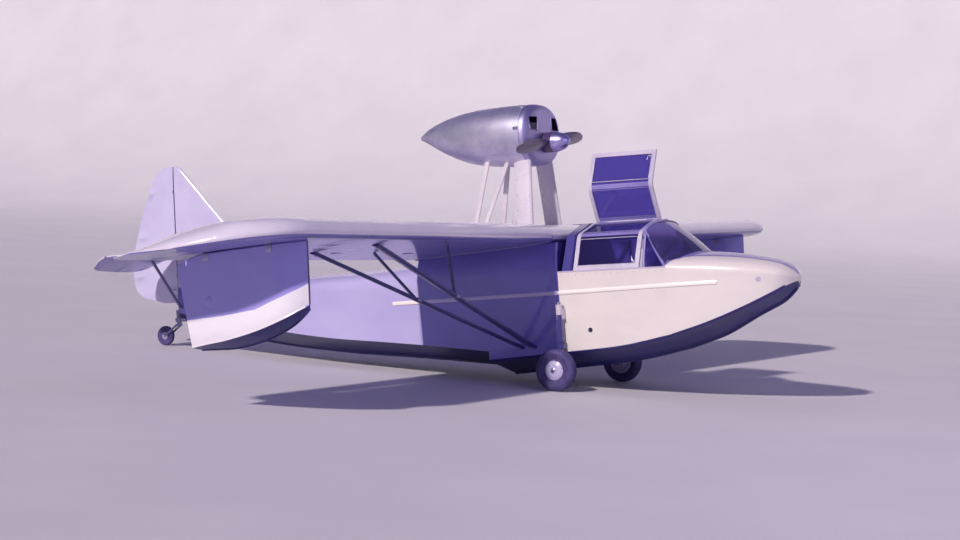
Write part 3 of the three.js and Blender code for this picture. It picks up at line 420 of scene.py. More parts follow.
def half_section(row, edge=50.0):
    """The port half of a section from the keel to the crown of the deck, as (y, z). edge is the angle
    round the deck, in degrees, where the side's paint gives way to the deck's."""
    keel, chine_z, chine_y, sheer_z, sheer_y = row[1:6]
    bottom = [(chine_y * f, keel + (chine_z - keel) * f) for f in (0, 0.3, 0.6, 0.9)]
    side = [(chine_y + (sheer_y - chine_y) * f, chine_z + (sheer_z - chine_z) * f)
            for f in (0, 0.04, 0.35, 0.65, 0.9)]
    turns = [edge * k / 3 for k in range(3)] + [edge + (90 - edge) * k / 5 for k in range(6)]
    deck = [(sheer_y * math.cos(math.radians(t)), sheer_z + (row[6] - sheer_z) * math.sin(math.radians(t)))
            for t in turns]
    return bottom + side + deck


def whole_ring(x, half):
    """A closed ring from the port half of a section."""
    return [(x, y, z) for y, z in half] + [(x, -y, z) for y, z in reversed(half[1:-1])]


def part_of(side, half_count=DECK):
    """How far up the section a side of the ring lies, the same on both halves."""
    return min(side, 2 * half_count - 1 - side)


def level(value, table):
    """A value read from a table of (value, result) pairs, in straight lines."""
    for (a, fa), (b, fb) in zip(table, table[1:]):
        if value <= b:
            return fa + (fb - fa) * max(0.0, (value - a) / (b - a))
    return table[-1][1]


def zone_paint(zones):
    """Paint numbers for the bottom, side, deck edge and deck of each bay of a hull."""
    def paint(bay, side):
        """The paint of one side of one bay."""
        k = part_of(side)
        bottom, flank, edge, deck = zones(bay)
        return bottom if k < BOTTOM else flank if k < SIDE else edge if k < DECK_EDGE else deck
    return paint


aft_rows = faired(AFT_HULL, 10)
mid_back_rows, mid_front_rows = [faired(rows, 8) for rows in MID_HULL]
AFT_DECK_EDGE = 62
# From the stern up to this bay the hull is blue above the bottom: painted shadow of the tailplane.
TAIL_SHADOW_BAYS = 11  # blue again from here to the stern
aft_hull = Stock()
aft_hull.loft([whole_ring(row[0], half_section(row, AFT_DECK_EDGE)) for row in aft_rows],
              zone_paint(lambda bay: (0, 3, 3, 3) if bay < TAIL_SHADOW_BAYS else (0, 1, 1, 2)))
make_piece("aft_hull", aft_hull, "hull",
           [bottom_blue_and_shade_enamel, lavender_enamel, aft_deck_shade_enamel, shadow_blue_enamel], ["hull_aft"])

WING_UNDER_Z = 1340
WING_LE_X = -26
INCIDENCE = math.tan(math.radians(3.9))
DIHEDRAL = math.tan(math.radians(0.8))


def wing_under(x, y):
    """Height of the wing's flat underside."""
    return WING_UNDER_Z + (x - WING_LE_X) * INCIDENCE + abs(y) * DIHEDRAL


# Dark blue on the bulkhead, and as painted shadow of the wing on the mid hull's front bay.
bulkhead_and_shadow_enamel = enamel("dark blue enamel on the bulkhead and as painted wing shadow", "#453e90", "#3d3684")
mid_hull = Stock()
# The mid hull's last bay, up to the cockpit, which the key light reaches ahead of the wing's shadow, is
# painted dark blue: painted shadow of the wing.
SHADOW_BAY_X = -34.0  # the last bay is painted with the cabin's rear frame
SHADOW_BAY = 8
for rows in (mid_back_rows, mid_front_rows):
    rings = []
    stations = list(rows)
    if rows is mid_front_rows:
        stations.insert(-1, [SHADOW_BAY_X, *stations[-1][1:]])
    for row in stations:
        x, sheer_z, sheer_y = row[0], row[4], row[5]
        top = wing_under(x, 0) - 0.5
        half = half_section([*row, sheer_z + 1])[:SIDE]
        rise = [(sheer_y, sheer_z), (sheer_y - 4, sheer_z + (top - sheer_z) * 0.3),
                (sheer_y - 17, sheer_z + (top - sheer_z) * 0.68), (MID_TOP_Y, top), (0, top)]
        rings.append(whole_ring(x, half + rise))
    # The mid hull's sides are blue as painted shadow of the wing, on top of the shadow the key light casts.
    mid_hull.loft(rings, lambda bay, side: (
        0 if part_of(side, OPEN_HALF) < BOTTOM else 2 if bay == SHADOW_BAY else 1))
make_piece("mid_hull", mid_hull, "hull", [bottom_blue_and_shade_enamel, shadow_blue_enamel, bulkhead_and_shadow_enamel], ["hull_mid"])

# The cockpit's sides are double: outer ply, inner lining, a varnished floor and a capping on the sill.
WELL_X = (32.0, 1060.0)  # the floor runs between these
WELL_FLOOR_Z = (430, 500)
WELL_FLOOR_Y = (440, 425)
LINING = 38  # from the outer skin to the lining's face
open_rows = faired(COCKPIT, 8)
cockpit_rows = list(open_rows)
cockpit_rows.insert(1, [WELL_X[0], *open_rows[0][1:]])
rings = []
for k, row in enumerate([*cockpit_rows[:2], *cockpit_rows[1:]]):
    x, sheer_z, sheer_y = row[0], row[4], row[5]
    half = half_section([*row, sheer_z + 1])[:SIDE] + [(sheer_y, sheer_z), (sheer_y - LINING, sheer_z)]
    if k < 2:
        # The back wall is solid from the joint to where the well begins.
        inner = [(300, sheer_z), (150, sheer_z), (0, sheer_z)]
    else:
        floor_z, floor_y = [level(x, list(zip(WELL_X, ends))) for ends in (WELL_FLOOR_Z, WELL_FLOOR_Y)]
        inner = [(floor_y + 6, floor_z + 26), (floor_y, floor_z), (0, floor_z)]
    rings.append(whole_ring(x, half + inner))


def cockpit_paint(bay, side):
    """Bottom, outer side and sill, floor, and lining."""
    k = part_of(side, OPEN_HALF)
    return 0 if k < BOTTOM else 1 if k < SIDE + 1 else 2 if bay != 1 and k > SIDE + 1 else 3


def varnished_ply(name, colour, shade):
    """Varnished plywood: long grain, darker growth lines and a satin film of varnish."""
    material, tree, place = new_material(name)
    # Growth lines about 9 mm apart, drawn out 30 times along the craft.
    along = add_node(tree, "Mapping", {"Vector": place, "Scale": (4.0, 110.0, 110.0)}).outputs["Vector"]
    grain = add_node(tree, "TexNoise", {"Vector": along, "Scale": 1.0, "Detail": 6.0, "Distortion": 0.6})
    tone = add_node(tree, "ValToRGB", {"Fac": grain.outputs["Fac"]}, stops=[(0.35, shade), (0.65, colour)])
    bump = add_node(tree, "Bump", {"Height": grain.outputs["Fac"], "Strength": 0.2, "Distance": 0.0006})
    shader = add_node(tree, "BsdfPrincipled", {
        "Base Color": tone.outputs["Color"], "Roughness": 0.42, "Coat Weight": 0.3,
        "Coat Roughness": 0.2, "Normal": bump.outputs["Normal"]})
    add_node(tree, "OutputMaterial", {"Surface": shader.outputs["BSDF"]})
    return material


floor_ply = varnished_ply("satin varnished plywood", "#8d7092", "#6f5578")
lining_enamel = enamel("blue grey enamel on the cockpit lining", "#6d66ad", "#615aa0", roughness=0.4)
cockpit = Stock()
cockpit.loft(rings, cockpit_paint, ends=(True, False))
make_piece("cockpit_shell", cockpit, "hull",
           [bottom_blue_and_shade_enamel, white_enamel, floor_ply, lining_enamel], ["hull_cockpit"])

# The bow: white sides that sweep up on to the crown, a lavender foredeck, and the footwell inside.
# The deck's edge in degrees at each x, and the footwell's ends: x, half width, share of the bow's own
# width, floor and roof.
DECK_LINE = [(1050, 8), (1090, 26), (1150, 40), (1250, 47), (1400, 49), (1850, 60), (2105, 72)]
FOOTWELL = [(1050, 415, 0.86, 545, 925), (1640, 280, 0.6, 690, 900)]
bow_rows = faired(BOW, 9)
bow = Stock()
bow.loft([whole_ring(row[0], half_section(row, level(row[0], DECK_LINE))) for row in bow_rows],
         zone_paint(lambda bay: (0, 1, 1, 2)), ends=(False, False))
opening = whole_ring(BOW[0][0], half_section(bow_rows[0], DECK_LINE[0][1]))
bow.face(range(len(bow.points) - len(opening), len(bow.points)), 1)
well = [[(x, max(-half, min(half, y * share)), max(low, min(high, z))) for _, y, z in opening]
        for x, half, share, low, high in FOOTWELL]
bow.loft([opening, *well], 3, ends=(False, True))
make_piece("bow_shell", bow, "hull",
           [bottom_blue_and_shade_enamel, white_enamel, deck_enamel, lining_enamel], ["hull_bow"])


def side_point(x, z):
    """A point on the port side of the hull, between the chine and the sheer."""
    rows = aft_rows + mid_back_rows + mid_front_rows + cockpit_rows + bow_rows
    for a, b in zip(rows, rows[1:]):
        if a[0] <= x <= b[0] and b[0] > a[0]:
            f = (x - a[0]) / (b[0] - a[0])
            chine_z, chine_y, sheer_z, sheer_y = [a[k] + (b[k] - a[k]) * f for k in (2, 3, 4, 5)]
            up = (z - chine_z) / (sheer_z - chine_z)
            return Vector((x, chine_y + (sheer_y - chine_y) * up, z))
    return Vector((x, 0, z))


# Moulding, spray rails and keel shoe: hardwood strips glued and screwed on, painted with the hull. The
# rails and the shoe stop short of the stem.
MOULDING = [(-1776, 848), (-872, 864), (-4, 880), (811, 900), (1388, 911), (1700, 908)]
half_round = [(0, -19), (6, -17), (9.5, -9), (10.5, 0), (9.5, 9), (6, 17), (0, 19), (-2, 0)]
line_white = enamel("warm white enamel on the moulding", "#f7f1ee", "#efe8e6", roughness=0.24)
# Under the wing the white moulding is drawn lavender: painted shade of the wing's shadow.
moulding_shadow_enamel = enamel("white moulding enamel darkened as painted wing shadow", "#c3bde4", "#b9b2dd", roughness=0.24)
STRIP_STEP = 60
for name, start, end, slot, paint in (
        ("moulding_aft", -1776, -1472, "grey_hull", line_white),
        ("moulding_mid", -1470, -1, "blue_hull", moulding_shadow_enamel),
        ("moulding_front", 0, 1500, "white_hull", line_white)):
    steps = int((end - start) / STRIP_STEP) + 1
    stations = [start + (end - start) * k / steps for k in range(steps + 1)]
    one = Stock()
    one.sweep([side_point(x, level(x, MOULDING)) for x in stations], half_round, (0, 1, 0))
    strip = Stock()
    for side in (1, -1):
        strip.join(one.on(side))
    make_piece(name, strip, "hull", [paint])

rail_outline = [(-3, 14), (2, 12), (13, -6), (9, -9), (-3, -9)]
for name, rows, slot in (
        ("spray_rails_mid", mid_front_rows, "blue_hull"),
        ("spray_rails_front", open_rows, "white_hull"),
        ("spray_rails_bow", bow_rows[:-12], "white_hull")):
    rails = Stock()
    for side in (1, -1):
        rails.sweep([(row[0], side * (row[3] - 2), row[2] + 3) for row in rows], rail_outline, (0, side, 0))
    make_piece(name, rails, "hull", [bottom_blue_and_shade_enamel])

keel = Stock()
shoe_outline = [(12, 4), (12, -8), (8, -11), (-8, -11), (-12, -8), (-12, 4)]
for rows in (aft_rows, mid_back_rows, mid_front_rows + open_rows[1:] + bow_rows[1:-5]):
    keel.sweep([(row[0], 0, row[1]) for row in rows], shoe_outline, (0, 1, 0))
make_piece("keel_shoe", keel, "hull", [bottom_blue_and_shade_enamel])

sill = Stock()
SILL_Z = 1066
capping_outline = [(-24, -5), (-24, 3), (-20, 6), (18, 6), (23, 3), (23, -7), (20, -9), (20, -5)]
for side in (1, -1):
    path = [(row[0], side * (row[5] - 20), SILL_Z) for row in open_rows[:-1]]
    sill.sweep([*path, (1046, side * 509, SILL_Z + 1)], capping_outline, (0, side, 0))
make_piece("sill_capping", sill, "hull", [sill_enamel])

# ---- Cabin frame and windscreen ----
# A welded frame of square tube, painted lilac: a roof beam, a bow over the windscreen and two pillars a
# side. The windscreen is one sheet of blue acrylic, bent round the bow and down on to the foredeck.
SIDES = (("port", 1), ("starboard", -1))
# Each edge of the windscreen: x at the side and in the middle, half width, z at the side and in the middle.
SCREEN_BASE = (1036, 1235, 486, 1070, 1194)
SCREEN_TOP = (806, 850, 377, 1394, 1492)
PANE = 4  # the thickness of the acrylic


def arc_point(line, t):
    """A point along the windscreen's top or bottom edge, for t from -1 to 1."""
    side_x, mid_x, side_y, side_z, mid_z = line
    c, s = math.cos(t * math.pi / 2), math.sin(t * math.pi / 2)
    return Vector((side_x + (mid_x - side_x) * c, side_y * s, side_z + (mid_z - side_z) * c))


def eased_bar(w, d, ease=3):
    """The outline of a flat bar of half width w and half depth d, with eased corners."""
    e, third = ease, ease * 0.3
    quarter = [(w, d - e), (w - third, d - third), (w - e, d)]
    left = [(-a, b) for a, b in reversed(quarter)]
    return [*quarter, *left, *[(-a, -b) for a, b in quarter], *[(-a, -b) for a, b in left]]


def flat_bar(w, d):
    """The outline of a flat bar with sharp corners."""
    return [(w, d), (-w, d), (-w, -d), (w, -d)]


def painted_metal(name, colour, shade, roughness=0.3):
    """Enamel on metal tube or sheet: a smooth film with orange peel, and bare metal in a few chips."""
    material, tree, place = new_material(name)
    # Orange peel about 3 mm across, chips of 5 to 20 mm where two scales of noise both peak.
    peel = add_node(tree, "TexNoise", {"Vector": place, "Scale": 330.0, "Detail": 1.0})
    patches = add_node(tree, "TexNoise", {"Vector": place, "Scale": 55.0, "Detail": 5.0, "Roughness": 0.7})
    broad = add_node(tree, "TexNoise", {"Vector": place, "Scale": 3.0, "Detail": 2.0})
    both = add_node(tree, "Math", {0: patches.outputs["Fac"], 1: broad.outputs["Fac"]}, operation="MULTIPLY")
    tone = add_node(tree, "ValToRGB", {"Fac": both.outputs["Value"]},
                    stops=[(0.18, shade), (0.32, colour), (0.5, colour), (0.515, "#8f8d99")])
    bump = add_node(tree, "Bump", {"Height": peel.outputs["Fac"], "Strength": 0.08, "Distance": 0.0004})
    shader = add_node(tree, "BsdfPrincipled", {
        "Base Color": tone.outputs["Color"], "Roughness": roughness, "Coat Weight": 0.5,
        "Coat Roughness": 0.08, "Normal": bump.outputs["Normal"]})
    add_node(tree, "OutputMaterial", {"Surface": shader.outputs["BSDF"]})
    return material


def blue_acrylic(name, tint):
    """Tinted acrylic sheet: clear and glossy, with the faint haze and fine scratches of old windows."""
    material, tree, place = new_material(name)
    haze = add_node(tree, "TexNoise", {"Vector": place, "Scale": 9.0, "Detail": 5.0})
    dull = add_node(tree, "MapRange", {"Value": haze.outputs["Fac"], "To Min": 0.03, "To Max": 0.12})
    sag = add_node(tree, "TexNoise", {"Vector": place, "Scale": 4.0, "Detail": 1.0})
    bump = add_node(tree, "Bump", {"Height": sag.outputs["Fac"], "Strength": 0.3, "Distance": 0.004})
    shader = add_node(tree, "BsdfPrincipled", {
        "Base Color": linear(tint), "Roughness": dull.outputs["Result"], "IOR": 1.49,
        "Transmission Weight": 0.93, "Normal": bump.outputs["Normal"]})
    add_node(tree, "OutputMaterial", {"Surface": shader.outputs["BSDF"]})
    return material


lilac_frame = painted_metal("lilac enamel on steel tube", "#8a80c2", "#7c72b4")
silver_frame = painted_metal("silver white enamel on aluminium frames", "#cdc6d6", "#b9b1ca")
white_tube = painted_metal("white enamel on streamlined tube", "#dcd5dd", "#cfc7d3")
navy_tube = painted_metal("dark blue enamel on streamlined tube", "#3a3580", "#322d72")
acrylic = blue_acrylic("blue tinted acrylic sheet", "#5d52b4")
pale_acrylic = blue_acrylic("paler blue acrylic windscreen", "#8a7dc4")

cabin = Stock()
cabin.sweep([(130, 0, 1489), (160, 0, 1490), (820, 0, 1490), (858, 0, 1489)], eased_bar(30, 16, 5), (0, 1, 0))
cabin.sweep([arc_point(SCREEN_TOP, -1 + k / 16) for k in range(33)], eased_bar(7, 15, 3), (0.25, 0, 1))
for side in (1, -1):
    corner = Vector((814, side * 377, 1394))
    cabin.sweep([corner, arc_point(SCREEN_BASE, side) + Vector((0, 0, -6))], eased_bar(13, 8), (1, 0, 0.6))
    cabin.sweep([corner, Vector((826, side * 506, 1052))], eased_bar(10, 8), (1, 0, 0))
    cabin.block((792, side * 360, 1378), (836, side * 396, 1404), 4)
    for start, end in ((200, 260), (680, 740)):
        cabin.rod((start, side * 36, 1506), (end, side * 36, 1506), 6.2, 12)
        cabin.block((start, side * 22, 1499), (end, side * 34, 1505), 1)
base_line = [arc_point(SCREEN_BASE, -0.985 + 1.97 * k / 32) for k in range(33)]
cabin.sweep([p + Vector((4, 0, -2)) for p in base_line], eased_bar(6, 9, 3), (0, 0, 1))
make_piece("cabin_tubes", cabin, "hull", [lilac_frame], ["cabin_frame"])

pane = Stock()
rings = []
for k in range(41):
    t = -1 + k / 20
    low_end = arc_point(SCREEN_BASE, t * 0.985) + Vector((0, 0, -8))
    top_end = arc_point(SCREEN_TOP, t * 0.97)
    outward = Vector((math.cos(t * math.pi / 2), math.sin(t * math.pi / 2), 0.5)).normalized()
    # The sheet bulges 14 mm between its two edges.
    line = [low_end.lerp(top_end, f / 10) + outward * (14 * math.sin(math.pi * f / 10)) for f in range(11)]
    rings.append([*line, *[p - outward * PANE for p in reversed(line)]])
pane.loft(rings)
make_piece("windscreen_sheet", pane, "hull", [pale_acrylic], ["windscreen"], crease=50)

for name, side in SIDES:
    glass = Stock()
    outline = [(846, 506, 1066), (1046, 485, 1066), (1038, 482, 1078), (826, 388, 1384), (812, 384, 1388)]
    glass.loft([outline, [(x, y - PANE, z) for x, y, z in outline]])
    make_piece(f"quarter_pane_{name}", glass.on(side), "hull", [acrylic],
               [f"quarter_window_{name}"])

# ---- Hatches ----
# Two gull-wing hatches of aluminium sheet round acrylic panes, bent at the roof corner and hinged on the
# roof beam. The port one is thrown open past upright, the starboard one is shut.
HATCH_X = (140, 788)
HATCH_HINGE = Vector((36, 1506))
HATCH_CORNER = Vector((385, 1400))
HATCH_SILL = Vector((512, 1076))
HATCH_BEND = 46  # from the corner to where the bend starts
STILE = 38  # the side members' width
ROOF = (HATCH_CORNER - HATCH_HINGE).normalized()
FLANK = (HATCH_SILL - HATCH_CORNER).normalized()


def into_cabin(along):
    """The way into the cabin, square to a way along the hatch."""
    return Vector((along.y, -along.x))


def hatch_path(depth, start, end):
    """Points (y, z) round a hatch from hinge to sill, at a depth inside its outer face."""
    a, b = HATCH_CORNER - ROOF * HATCH_BEND, HATCH_CORNER + FLANK * HATCH_BEND
    bend = [a.lerp(HATCH_CORNER, k / 8).lerp(HATCH_CORNER.lerp(b, k / 8), k / 8) for k in range(9)]
    points = [HATCH_HINGE + ROOF * start, *bend, HATCH_SILL - FLANK * end]
    ways = [ROOF, *[ROOF.lerp(FLANK, k / 8).normalized() for k in range(9)], FLANK]
    return [p + into_cabin(way) * depth for p, way in zip(points, ways)]


def bent_strip(stock, x0, x1, points_out, points_in, paint=0):
    """A strip between two x values whose section runs out along one line and back along another."""
    section = [*points_out, *reversed(points_in)]
    stock.loft([[(x, p[0], p[1]) for p in section] for x in (x0, x1)], paint)


def hatch_stock():
    """The frame of a port hatch, shut: two bent side members, hinge, corner and sill members, and beads."""
    made = Stock()
    x0, x1 = HATCH_X
    outer, inner = hatch_path(0, 2, 0), hatch_path(18, 2, 0)
    # Faces on the inside towards the roof, the hinge member, the corner strip and the roof bead are lilac,
    # darker than the silver frame: painted shade on the hatch's roof half.
    for near_x in (x0, x1 - STILE):
        bent_strip(made, near_x, near_x + STILE, outer, inner, lambda bay, k: 1 if k > 15 else 0)
    for start, along, width, paint in ((HATCH_HINGE + ROOF * 12, ROOF, 32, 1),
                                       (HATCH_SILL - FLANK * 40, FLANK, 40, 0)):
        a = [start, start + along * width]
        bent_strip(made, x0 + 36, x1 - 36, a, [p + into_cabin(along) * 17 for p in a], paint)
    bent_strip(made, x0 + 36, x1 - 36, hatch_path(0.5, 0, 0)[3:8], hatch_path(17, 0, 0)[3:8], 1)
    # A raised bead round each opening, which holds the pane.
    for near, far, along, origin, paint in ((44, 330, ROOF, HATCH_HINGE, 1),
                                            (50, 306, FLANK, HATCH_CORNER, 0)):
        outward = -into_cabin(along)
        corners = [(x0 + STILE, near), (x1 - STILE, near), (x1 - STILE, far), (x0 + STILE, far)]
        path = []
        for k, (x, d) in enumerate(corners):
            nx, nd = corners[(k + 1) % 4]
            path += [(x + (nx - x) * f, d + (nd - d) * f) for f in (0.02, 0.98)]
        made.sweep([(x, *(origin + along * d + outward * 0.5)) for x, d in path], eased_bar(4, 3, 1.5),
                   (0, outward.x, outward.y), paint, looped=True)
    return made


def hatch_latch():
    """The latch outside, near the front of the sill: a plate, a round boss and a lever."""
    made = Stock()
    along = Vector((0, FLANK.x, FLANK.y))
    outward = Vector((0, -FLANK.y, FLANK.x))
    base = Vector((HATCH_X[1] - 62, *(HATCH_SILL - FLANK * 62)))
    made.turn([(0, -2), (17, -2), (17, 3), (12, 5), (9, 12), (0, 13)], base, outward, 20)
    lever = [base + outward * out - along * up - Vector((aft, 0, 0))
             for out, up, aft in ((11, 0, 4), (13, 20, 10), (12, 46, 14))]
    made.sweep(lever, eased_bar(6, 3.5, 2), (1, 0, 0))
    return made


def polished_metal(name, colour, roughness):
    """Bare metal: rubbed along one way, with cloudy patches where it has dulled."""
    material, tree, place = new_material(name)
    # Rub marks about 2 mm apart and 200 mm long: coarser than real ones, to show at this size.
    rubbed = add_node(tree, "Mapping", {"Vector": place, "Scale": (5.0, 420.0, 420.0)}).outputs["Vector"]
    lines = add_node(tree, "TexNoise", {"Vector": rubbed, "Scale": 1.0, "Detail": 2.0})
    dull = add_node(tree, "TexNoise", {"Vector": place, "Scale": 3.5, "Detail": 6.0, "Roughness": 0.65})
    shine = add_node(tree, "MapRange", {"Value": dull.outputs["Fac"], "To Min": roughness - 0.08,
                                        "To Max": roughness + 0.14})
    tone = add_node(tree, "ValToRGB", {"Fac": dull.outputs["Fac"]}, stops=[(0.35, colour), (0.85, "#a59fc6")])
    bump = add_node(tree, "Bump", {"Height": lines.outputs["Fac"], "Strength": 0.06, "Distance": 0.0003})
    shader = add_node(tree, "BsdfPrincipled", {
        "Base Color": tone.outputs["Color"], "Metallic": 1.0, "Roughness": shine.outputs["Result"],
        "Normal": bump.outputs["Normal"]})
    add_node(tree, "OutputMaterial", {"Surface": shader.outputs["BSDF"]})
    return material


bright_metal = polished_metal("bright plated steel", "#e6e2ee", 0.16)
polished_sheet = polished_metal("polished aluminium sheet", "#e9e6f6", 0.42)

# Each pane's place, its two corners, and how far it starts from the one and stops short of the other.
PANES = (("roof", HATCH_HINGE, HATCH_CORNER, 40, 20), ("side", HATCH_CORNER, HATCH_SILL, 20, 36))
THROWN = {"port": 134, "starboard": 0}
for name, side in SIDES:
    pin = Matrix.Translation((0, side * HATCH_HINGE.x, HATCH_HINGE.y))
    swing = pin @ Matrix.Rotation(math.radians(side * THROWN[name]), 4, "X") @ pin.inverted()
    body = f"hatch_{name}"
    make_piece(f"hatch_shell_{name}", hatch_stock().on(side), body,
               [silver_frame, lilac_frame], [f"hatch_frame_{name}"], swing)
    make_piece(f"hatch_latch_{name}", hatch_latch().on(side), body,
               [bright_metal], swing=swing)
    for where, start, end, near, short in PANES:
        along = (end - start).normalized()
        deep = into_cabin(along)
        far = (end - start).length - short
        glass = Stock()
        rings = []
        # The sheet is not quite flat: it bows out 3 mm in the middle.
        for column in range(9):
            x = HATCH_X[0] + 32 + (HATCH_X[1] - HATCH_X[0] - 64) * column / 8
            front = []
            for row in range(7):
                bow_out = 3 * math.sin(math.pi * column / 8) * math.sin(math.pi * row / 6)
                front.append(start + along * (near + (far - near) * row / 6) + deep * (9 - bow_out))
            rings.append([(x, *p) for p in [*front, *[p + deep * PANE for p in reversed(front)]]])
        glass.loft(rings)
        make_piece(f"hatch_{where}_sheet_{name}", glass.on(side), body, [acrylic],
                   [f"hatch_{where}_pane_{name}"], swing, crease=50)

# ---- Cockpit ----
# A crackle-black panel with plain round dials, two yokes on one column, hanging pedals, and two cushioned
# seats on a plywood box. The bulkhead behind is lined in vinyl.


def crackle(name, colour, shade):
    """Crackle enamel: fine wrinkles about 2 mm across that break up the shine."""
    material, tree, place = new_material(name)
    wrinkle = add_node(tree, "TexVoronoi", {"Vector": place, "Scale": 480.0}, feature="DISTANCE_TO_EDGE")
    tone = add_node(tree, "ValToRGB", {"Fac": wrinkle.outputs["Distance"]},
                    stops=[(0.0, shade), (0.25, colour)])
    bump = add_node(tree, "Bump", {"Height": wrinkle.outputs["Distance"], "Strength": 0.4,
                                   "Distance": 0.0005})
    shader = add_node(tree, "BsdfPrincipled", {"Base Color": tone.outputs["Color"], "Roughness": 0.5,
                                               "Normal": bump.outputs["Normal"]})
    add_node(tree, "OutputMaterial", {"Surface": shader.outputs["BSDF"]})
    return material


def vinyl_cloth(name, colour, shade):
    """Grained vinyl: pebbled leather grain about 3 mm across, paler where it is rubbed."""
    material, tree, place = new_material(name)
    pebble = add_node(tree, "TexVoronoi", {"Vector": place, "Scale": 330.0}, feature="SMOOTH_F1")
    rubbed = add_node(tree, "TexNoise", {"Vector": place, "Scale": 8.0, "Detail": 4.0})
    tone = add_node(tree, "ValToRGB", {"Fac": rubbed.outputs["Fac"]}, stops=[(0.35, shade), (0.7, colour)])
    bump = add_node(tree, "Bump", {"Height": pebble.outputs["Distance"], "Strength": 0.35,
                                   "Distance": 0.0006})
    shader = add_node(tree, "BsdfPrincipled", {
        "Base Color": tone.outputs["Color"], "Roughness": 0.45, "Sheen Weight": 0.15,
        "Normal": bump.outputs["Normal"]})
    add_node(tree, "OutputMaterial", {"Surface": shader.outputs["BSDF"]})
    return material


black_crackle = crackle("black crackle enamel", "#2f2b47", "#1c1a30")
dial_white = painted_metal("white dial faces", "#cfcbe0", "#c4bfd8", roughness=0.5)
seat_vinyl = vinyl_cloth("plum vinyl over foam", "#7a6488", "#64506f")
steel_paint = painted_metal("grey enamel on steel", "#7d78a0", "#6d688f")

# Each dial: y, z and radius.
DIALS = ((-320, 1010, 40), (-225, 1010, 40), (-130, 1030, 40), (130, 1030, 40), (225, 1010, 40),
         (320, 1010, 40), (-35, 1055, 34), (45, 1055, 34), (0, 975, 30), (-75, 965, 24), (75, 965, 24))
PANEL_FACE = 1029
board = Stock()
outline = [(-455, 905), (455, 905), (455, 1055), (380, 1084), (300, 1105), (150, 1127), (0, 1135),
           (-150, 1127), (-300, 1105), (-380, 1084), (-455, 1055)]
board.loft([[(x, y * s, 1000 + (z - 1000) * s) for y, z in outline] for x, s in
            ((1028, 0.985), (1031, 1), (1046, 1), (1049, 0.985))])
for y, z, radius in DIALS:
    rim = [(radius + 5, 0), (radius + 5, 5), (radius, 7), (radius - 3, 4)]
    board.turn(rim, (PANEL_FACE, y, z), (-1, 0, 0), 24)
    face = [(0, 0), (radius - 2, 0), (radius - 2, 3.5), (0, 3.5)]
    board.turn(face, (PANEL_FACE, y, z), (-1, 0, 0), 24, 1)
    needle = [(PANEL_FACE - 4.4, y + radius * reach, z + radius * reach) for reach in (-0.1, 0.5)]
    board.sweep(needle, flat_bar(1.6, 0.5), (0, 1, -1))
make_piece("panel_board", board, "hull", [black_crackle, dial_white], ["instrument_panel"])


def oval(half_a, half_b, sides):
    """The outline of a round or oval bar."""
    turns = [2 * math.pi * k / sides for k in range(sides)]
    return [(half_a * math.cos(t), half_b * math.sin(t)) for t in turns]


yokes = Stock()
yokes.rod((880, 0, 985), (1027, 0, 985), 14)
for y in (-230, 230):
    yokes.sweep([(898, 0, 985), (892, y * 0.5, 983), (880, y * 0.94, 985)], oval(10, 10, 12), (0, 0, 1))
    horn = [(-110, 1094), (-112, 1060), (-106, 1026), (-84, 1006), (-40, 996), (0, 987), (40, 996),
            (84, 1006), (106, 1026), (112, 1060), (110, 1094)]
    yokes.sweep([(880, y + dy, z) for dy, z in horn], oval(10, 10, 12), (1, 0, 0))
    for dy in (-110, 110):
        yokes.turn([(0, -30), (12, -30), (13.5, -22), (12, -10), (13.5, 2), (12, 12), (9, 18), (0, 19)],
                   (880, y + dy, 1078), (0, 0, 1), 16, 1)
grip = vinyl_cloth("black grip rubber", "#2a2838", "#201e2c")
make_piece("yokes", yokes, "hull", [steel_paint, grip], ["control_yoke"])

box = Stock()
profile = [(33, 437), (500, 472), (540, 638), (33, 609)]
box.loft([[(x * s + 286 * (1 - s), y, z * s + 540 * (1 - s)) for x, z in profile]
          for y, s in ((-424, 0.99), (-420, 1), (420, 1), (424, 0.99))])
make_piece("seat_plywood", box, "hull", [floor_ply], ["seat_box"])

bulkhead = Stock()
outline = [(-538, 1063), (538, 1063), (385, 1398), (60, 1505), (-60, 1505), (-385, 1398)]
bulkhead.loft([[(x, y * s, 1250 + (z - 1250) * s) for y, z in outline] for x, s in
               ((33, 0.985), (37, 1), (119, 1), (123, 0.985))])
bulkhead.loft([[(123 + d, y * s * 0.86, 1262 + (z - 1262) * s * 0.8) for y, z in outline]
               for d, s in ((-1, 1), (5, 0.985), (6, 0.93))], 1)
make_piece("bulkhead_lined", bulkhead, "hull", [bulkhead_and_shadow_enamel, seat_vinyl], ["cabin_bulkhead"])

# ---- Wing and ailerons ----
# Spars and ribs covered in doped cloth, white above and lavender blue below, with rounded tips. The
# lavender blue is painted shade on white cloth, with the dark ground's reflection painted in. The cloth
# sinks a little between the ribs, and each rib shows as a tape. The ailerons hang on short hinge barrels.
CHORD = 1452
RIB_PITCH = 300
